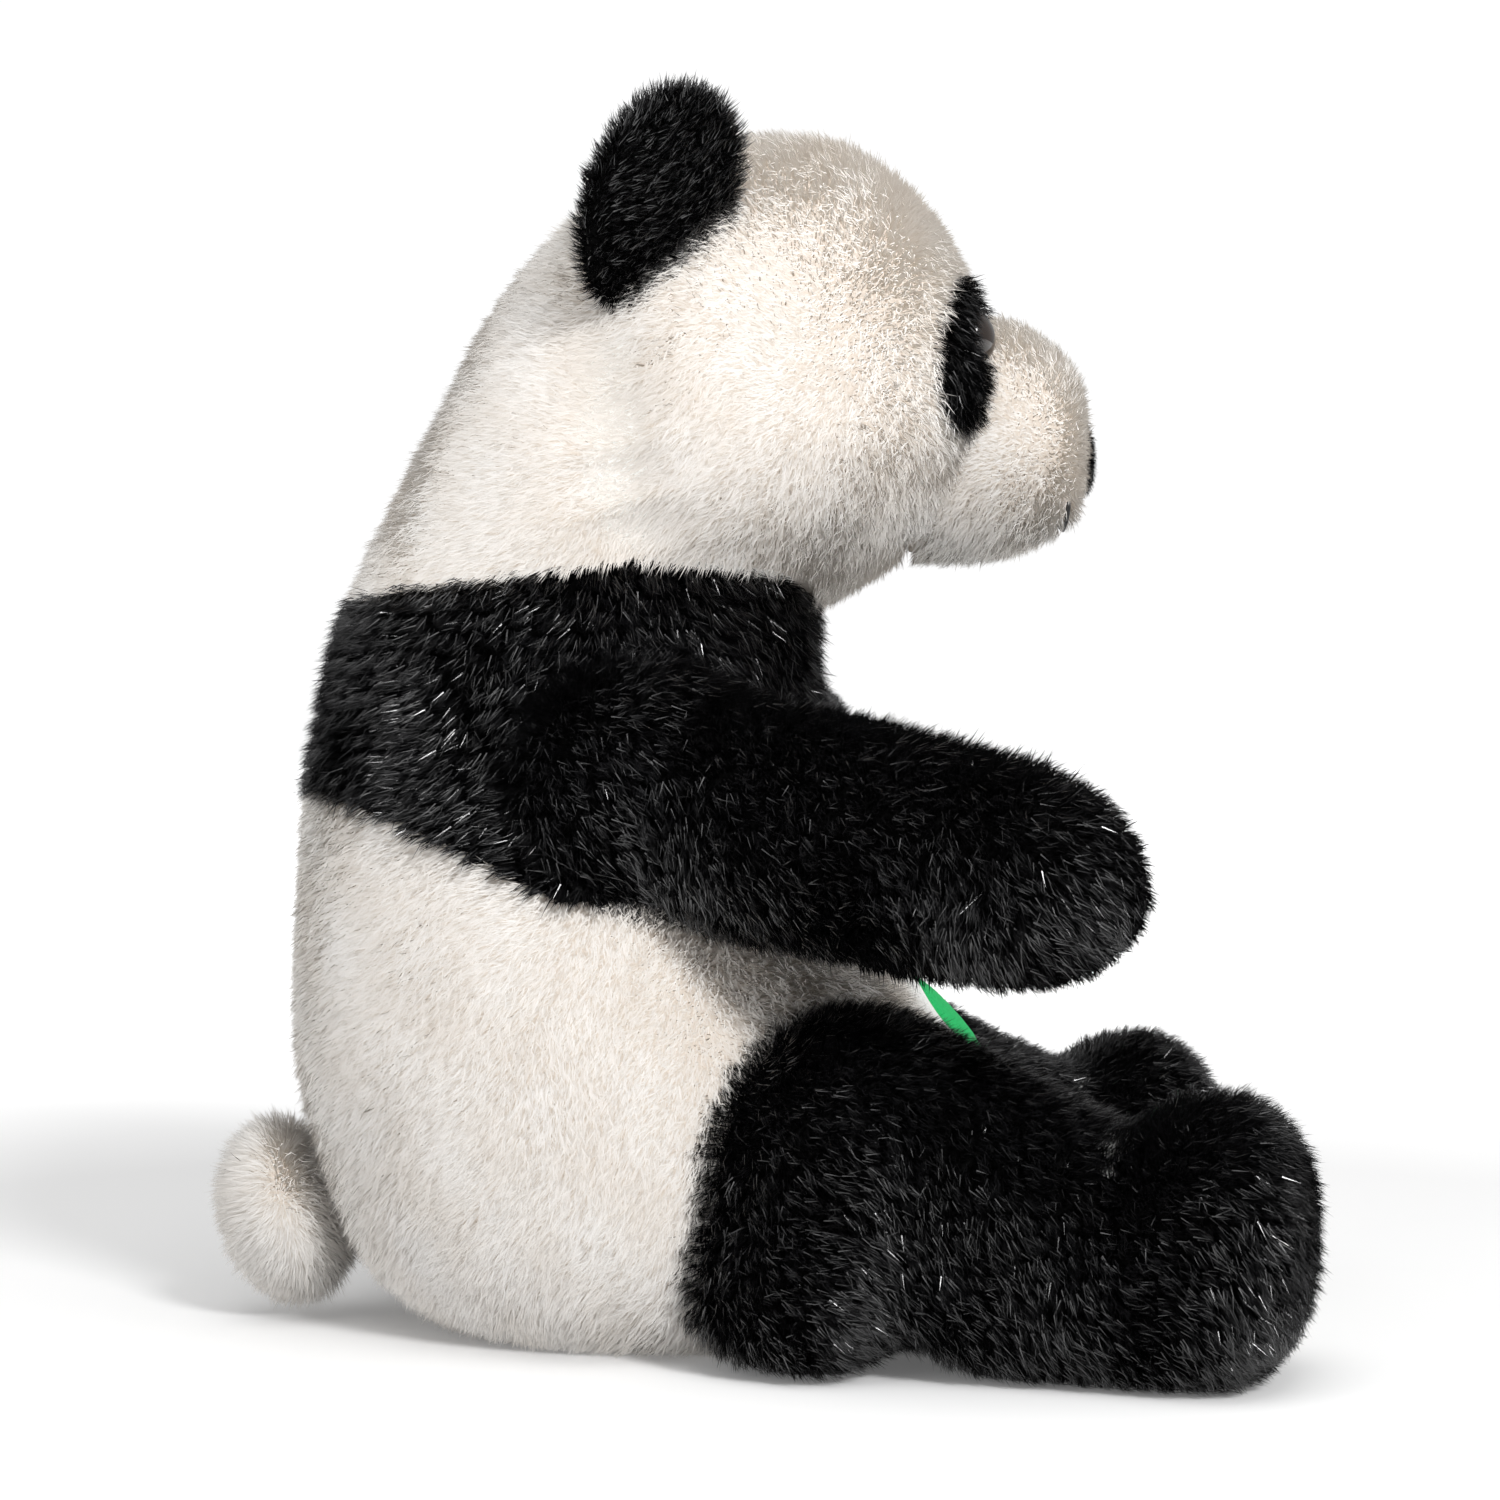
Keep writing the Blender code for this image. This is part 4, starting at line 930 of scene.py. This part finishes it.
# Distance from the joint, radius.
ARM_ROWS = [
    (24, 26.6), (45, 26), (70, 25), (92, 24), (109, 22), (121.5, 17), (129.5, 9), (133, 0),
]
ARM_TURN = {"right": 32, "left": 70}  # degrees away from straight ahead
ARM_DROP = {"right": 9.9, "left": -5.0}  # degrees below level


def ball_rows(radius, start):
    """(distance, radius) rows of a ball about the joint, from its far side up to start."""
    end = math.acos(start / radius)
    way = np.concatenate([np.linspace(math.pi, math.pi / 2, 6), [(math.pi / 2 + end) / 2, end]])
    return [(radius * math.cos(a), radius * math.sin(a)) for a in way]


def outside_torso(points, margin=9.0):
    """1 outside the torso's oval ring at the point's own height, less the margin, and 0 inside."""
    forward, behind, half = (size - margin for size in ring_at(TORSO_ROWS, points[:, 2]))
    across = points[:, 0] / half
    along = (points[:, 1] + (forward - behind) / 2) / ((forward + behind) / 2)
    return 1.0 * (across**2 + along**2 > 1)


arm_rows = [(d, 0, r, r) for d, r in ball_rows(SHOULDER_RADIUS, ARM_START) + ARM_ROWS]
arm_grid = forward_rings(arm_rows, 80, 64)
# Past the shoulder the sleeve is a tenth less wide than high.
arm_grid[:, :, 0] *= 1 - 0.1 * np.clip((-arm_grid[:, :, 1] - ARM_START) / 25, 0, 1)
arm_grid = sunk(arm_grid)
for side, word in SIDES:
    turn = turn_about("z", ARM_TURN[word] * side) @ turn_about("x", ARM_DROP[word])
    root = SHOULDER * [side, 1, 1]
    arm = placed(arm_grid, root, turn)
    ahead = turn @ np.array([0, -1.0, 0])
    cover = sewn_cover(
        f"arm_backing_{word}", arm, BLACK_BACKING,
        [f"arm_{word}_outer", f"arm_{word}_inner"],
    )
    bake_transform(cover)
    part = pile(
        f"arm_pile_{word}", arm, BLACK_PILE,
        lambda p, n: ahead + np.array([0, 0.1, -0.6]) + 0 * p, 60 + side,
        length=7.2, tuft=4.0, gather=0.5, shown=outside_torso,
    )
    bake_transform(part)


# --- Legs ------------------------------------------------------------------------------------
# Each leg is a stuffed tube of black plush, an outer and an inner panel, that rises into an
# upright foot closed by an oval sole. The round hip is sewn to the torso.

HIP_RADIUS = 37.5
THIGH_START = 12  # how far from the joint the round hip turns into the thigh
LOWEST_LEG = 1.3  # height of the leg's backing where it lies on the floor
# Distance from the joint, lowest height, highest height, half width.
LEG_ROWS = [
    (20, 7, 75, 32.5),
    (34, 1, 68, 31),
    (50, 0, 60.5, 29.5),
    (64, 0, 55.5, 29.5),
    (78, 0, 61.5, 31.5),
    (89, 2, 62.5, 31),
    (96.5, 8, 58, 28),
    (101.5, 17, 49.5, 21),
    (103.5, 32, 32, 0),
]
LEG_TURN = 17.7  # degrees out from straight ahead
leg_rows = [(d, 0, r, r) for d, r in ball_rows(HIP_RADIUS, THIGH_START)]
for distance, low, high, half in LEG_ROWS:
    leg_rows.append((distance, (low + high) / 2 - HIP[2], (high - low) / 2, half))
leg_grid = forward_rings(leg_rows, 80, 64)
leg_grid[:, :, 2] = np.maximum(leg_grid[:, :, 2], -HIP[2])
# The leg spreads on the floor: below its middle each ring is fuller than an oval, by one over
# the cube root of |u|^3 + |v|^3, where u and v are its width and height shares.
low, high = leg_grid[:, :, 2].min(axis=1)[:, None], leg_grid[:, :, 2].max(axis=1)[:, None]
middle, half_height = (low + high) / 2, np.maximum((high - low) / 2, 1e-6)
width_share = leg_grid[:, :, 0] / np.maximum(np.abs(leg_grid[:, :, 0]).max(axis=1), 1e-6)[:, None]
height_share = (leg_grid[:, :, 2] - middle) / half_height
spread = np.maximum(np.abs(width_share) ** 3 + np.abs(height_share) ** 3, 1e-6) ** (-1 / 3)
spread = np.where((height_share < 0) & (half_height > 1), spread, 1)
leg_grid[:, :, 0] *= spread
leg_grid[:, :, 2] = middle + half_height * height_share * spread
# Behind the joint the hip is drawn out to fill the seat.
leg_grid[:, :, 1] *= np.where(leg_grid[:, :, 1] > 0, 1.13, 1)
leg_grid = sunk(leg_grid)
# The seat end is fuller than a ball below its middle: each point there moves out by 1 over the
# fifth root of c^5 + s^5, where c and s are its level and upright shares of the ball's radius.
level_share = np.hypot(leg_grid[:, :, 0], leg_grid[:, :, 1])
whole = np.maximum(np.hypot(level_share, leg_grid[:, :, 2]), 1e-6)
fuller = ((level_share / whole) ** 5 + np.abs(leg_grid[:, :, 2] / whole) ** 5) ** -0.2
seat_share = np.clip(leg_grid[:, :, 1] / THIGH_START + 1, 0, 1) * np.clip(-leg_grid[:, :, 2] / 8, 0, 1)
leg_grid *= (1 + (fuller - 1) * seat_share)[..., None]
leg_grid[:, :, 2] = np.maximum(leg_grid[:, :, 2], LOWEST_LEG - HIP[2])
for side, word in SIDES:
    turn = turn_about("z", LEG_TURN * side)
    root = HIP * [side, 1, 1]
    leg = placed(leg_grid, root, turn)
    ahead = turn @ np.array([0, -1.0, 0])
    cover = sewn_cover(
        f"leg_backing_{word}", leg, BLACK_BACKING,
        [f"leg_{word}_outer", f"leg_{word}_inner", f"foot_sole_{word}"],
    )
    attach(cover, f"leg_{word}")
    part = pile(
        f"leg_pile_{word}", leg, BLACK_PILE,
        lambda p, n: ahead * 0.9 + np.array([0, 0, -0.7]) + 0 * p, 70 + side,
        length=7.0, tuft=4.0, gather=0.5, shown=outside_torso,
    )
    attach(part, f"leg_{word}")


# --- Tail ------------------------------------------------------------------------------------
# A small stuffed ball of white plush on a short root, from a left and a right panel. Its pile
# stands straighter than elsewhere.

# Distance from the joint, radius.
TAIL_ROWS = [
    (-6, 0), (-3.5, 5), (0, 7), (4, 8), (7, 12),
    (11.5, 17.5), (17, 19.5), (23, 17), (27.5, 11), (29.5, 0),
]
tail = sunk(forward_rings([(d, 0, r, r) for d, r in TAIL_ROWS], 44, 48), 1.0)
tail = placed(tail, (0, 99, 32), turn_about("z", 180) @ turn_about("x", 16))
cover = sewn_cover("tail_backing", tail, SHADED_WHITE_BACKING, ["tail_left", "tail_right"])
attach(cover, "tail")
part = pile(
    "tail_pile", tail, WHITE_PILE, lambda p, n: np.array([0, 0.4, -1.0]) + 0 * p, 80,
    density=7, length=7.5, lean=(8, 38), tuft=2.6, gather=0.2, soft=0.9,
)
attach(part, "tail")


# --- Belly patch -----------------------------------------------------------------------------
# A plain rounded leaf of green felt with a white stitched rim, sewn to the front of the belly.

LEAF_HALF = (17, 12)


def leaf_outline(turn):
    """x and z round a leaf's rim: a wide oval whose two ends are drawn to soft points."""
    narrowed = 1 - 0.25 * np.abs(np.sin(turn)) ** 3
    return LEAF_HALF[0] * np.sin(turn), LEAF_HALF[1] * np.cos(turn) * narrowed


def leaf_grid(spread, lift):
    """Rings from the leaf's middle out, on the torso's front: y as for an oval ring, less lift."""
    across, up = leaf_outline(np.linspace(0, 2 * math.pi, 65))
    spread = np.array(spread)[:, None]
    x, z = across * spread, LEAF_HEIGHT + up * spread
    forward, behind, half = ring_at(TORSO_ROWS, z)
    y = -(forward - behind) / 2 - (forward + behind) / 2 * np.sqrt(1 - (x / half) ** 2)
    return np.stack([x, y - np.array(lift)[:, None], z], axis=2)


def felt_finish(name, dark, light):
    """Pressed felt: fine matted fibres over two near tones."""
    finish, matted, _ = toned_finish(name, "TexNoise", 1400, dark, light, 0.85, relief=0.0006)
    matted.inputs["Detail"].default_value = 4
    return finish


leaf = sewn_cover(
    "belly_leaf", leaf_grid([0, 0.3, 0.6, 0.8, 0.92, 0.93], [8.2, 8.0, 7.2, 6.0, 4.8, 0]),
    felt_finish("green_felt", (0.0, 0.34, 0.08), (0.01, 0.56, 0.15)), ["belly_patch"],
)
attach(leaf, "torso")
rim = sewn_cover(
    "belly_leaf_rim",
    leaf_grid([0.90, 0.91, 0.95, 0.99, 1.0, 1.0, 0.9], [4.0, 4.9, 5.1, 4.7, 4.0, 0, 0]),
    felt_finish("white_stitching", (0.72, 0.72, 0.70), (0.92, 0.92, 0.90)), [],
)
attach(rim, "torso")


# --- Care label ------------------------------------------------------------------------------
# A blank strip of woven satin, sewn under the right thigh and lying on the floor.

# Woven satin has fine even ribs across the strip.
SATIN, _, _ = toned_finish("woven_satin", "TexWave", 700, (0.80, 0.80, 0.82), (0.92, 0.92, 0.94), 0.4)
low, high = (np.array(corner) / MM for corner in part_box("care_label"))
s, t = np.meshgrid(np.linspace(0, 1, 17), np.linspace(0, 1, 9))
# A flat strip with one soft wave along its length.
strip = np.stack(
    [low[0] + (high[0] - low[0]) * s, low[1] + (high[1] - low[1]) * t, 0.7 + 0.35 * np.sin(5 * s)],
    axis=2,
)
number = np.arange(s.size).reshape(s.shape)
corners = (number[:-1, :-1], number[:-1, 1:], number[1:, 1:], number[1:, :-1])
quads = np.stack(corners, axis=-1).reshape(-1, 4)
label_mesh = bpy.data.meshes.new("care_label_strip")
label_mesh.from_pydata((strip.reshape(-1, 3) * MM).tolist(), [], quads.tolist())
label_mesh.shade_smooth()
label_mesh.materials.append(SATIN)
label = in_scene("care_label_strip", label_mesh)
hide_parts("care_label")
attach(label, "torso")


# --- Stuffing and washers --------------------------------------------------------------------
# Inside the covers lies polyester stuffing, and behind each eye a plastic washer.

STUFFING = felt_finish("polyester_stuffing", (0.75, 0.75, 0.73), (0.95, 0.95, 0.93))
WASHER = felt_finish("moulded_washer", (0.80, 0.80, 0.78), (0.86, 0.86, 0.84))
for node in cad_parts:
    if node.endswith("stuffing"):
        refinish(node, STUFFING)
    elif node.startswith("eye_washer"):
        refinish(node, WASHER)


# --- Floor, light and camera -----------------------------------------------------------------
# A plain white floor under soft studio light, seen from the panda's right side.

floor_mesh = bpy.data.meshes.new("floor")
floor_mesh.from_pydata([(-30, -30, 0), (30, -30, 0), (30, 30, 0), (-30, 30, 0)], [], [(0, 1, 2, 3)])
floor = in_scene("floor", floor_mesh)
paper, nodes, links, shader = plain_finish("white_paper", 1)
shader.inputs["Base Color"].default_value = (0.9, 0.9, 0.9, 1)
shader.inputs["Specular IOR Level"].default_value = 0
shader.inputs["Emission Color"].default_value = (1, 1, 1, 1)
# The paper glows more with distance, so that it meets the white of the room.
place, reach, far = (nodes.new("ShaderNode" + kind) for kind in ("TexCoord", "VectorMath", "MapRange"))
reach.operation = "LENGTH"
far.inputs["From Min"].default_value = 0.35
far.inputs["From Max"].default_value = 1.3
far.inputs["To Min"].default_value = 0.1
far.inputs["To Max"].default_value = 1.1
links.new(place.outputs["Object"], reach.inputs[0])
links.new(reach.outputs["Value"], far.inputs["Value"])
links.new(far.outputs["Result"], shader.inputs["Emission Strength"])
floor_mesh.materials.append(paper)


def soft_light(name, place, target, size, power):
    """A round lamp that many metres across, turned to its target, with its power in watts."""
    light = bpy.data.lights.new(name, "AREA")
    light.shape = "DISK"
    light.size = size
    light.energy = power
    lamp = in_scene(name, light)
    lamp.location = place
    lamp.rotation_euler = (Vector(target) - Vector(place)).to_track_quat("-Z", "Y").to_euler()


soft_light("key_light", (-1.25, -0.72, 1.05), (0, 0, 0.12), 0.35, 18)
soft_light("top_light", (-0.5, -0.1, 1.7), (0, 0, 0.1), 1.3, 9)
soft_light("back_light", (-1.0, 1.3, 0.5), (0, 0, 0.12), 1.2, 6)

sky = bpy.data.worlds.new("studio")
sky.use_nodes = True
nodes, links = sky.node_tree.nodes, sky.node_tree.links
# The camera sees a white room, whose light on the panda is weaker.
seen = nodes["Background"]
kinds = ("Background", "MixShader", "LightPath")
ambient, pick, ray = (nodes.new("ShaderNode" + kind) for kind in kinds)
seen.inputs["Color"].default_value = (1, 1, 1, 1)
seen.inputs["Strength"].default_value = 1.05
ambient.inputs["Color"].default_value = (1, 1, 1, 1)
ambient.inputs["Strength"].default_value = 0.46
links.new(ray.outputs["Is Camera Ray"], pick.inputs["Fac"])
links.new(ambient.outputs["Background"], pick.inputs[1])
links.new(seen.outputs["Background"], pick.inputs[2])
links.new(pick.outputs["Shader"], nodes["World Output"].inputs["Surface"])
bpy.context.scene.world = sky
bpy.context.scene.view_settings.view_transform = "Standard"

lens = bpy.data.cameras.new("camera")
lens.lens = 78.7
lens.clip_start = 0.01
camera = in_scene("camera", lens)
camera.location = (-0.82, 0, 0.142)
camera.rotation_euler = (math.pi / 2, 0, -math.pi / 2)
bpy.context.scene.camera = camera
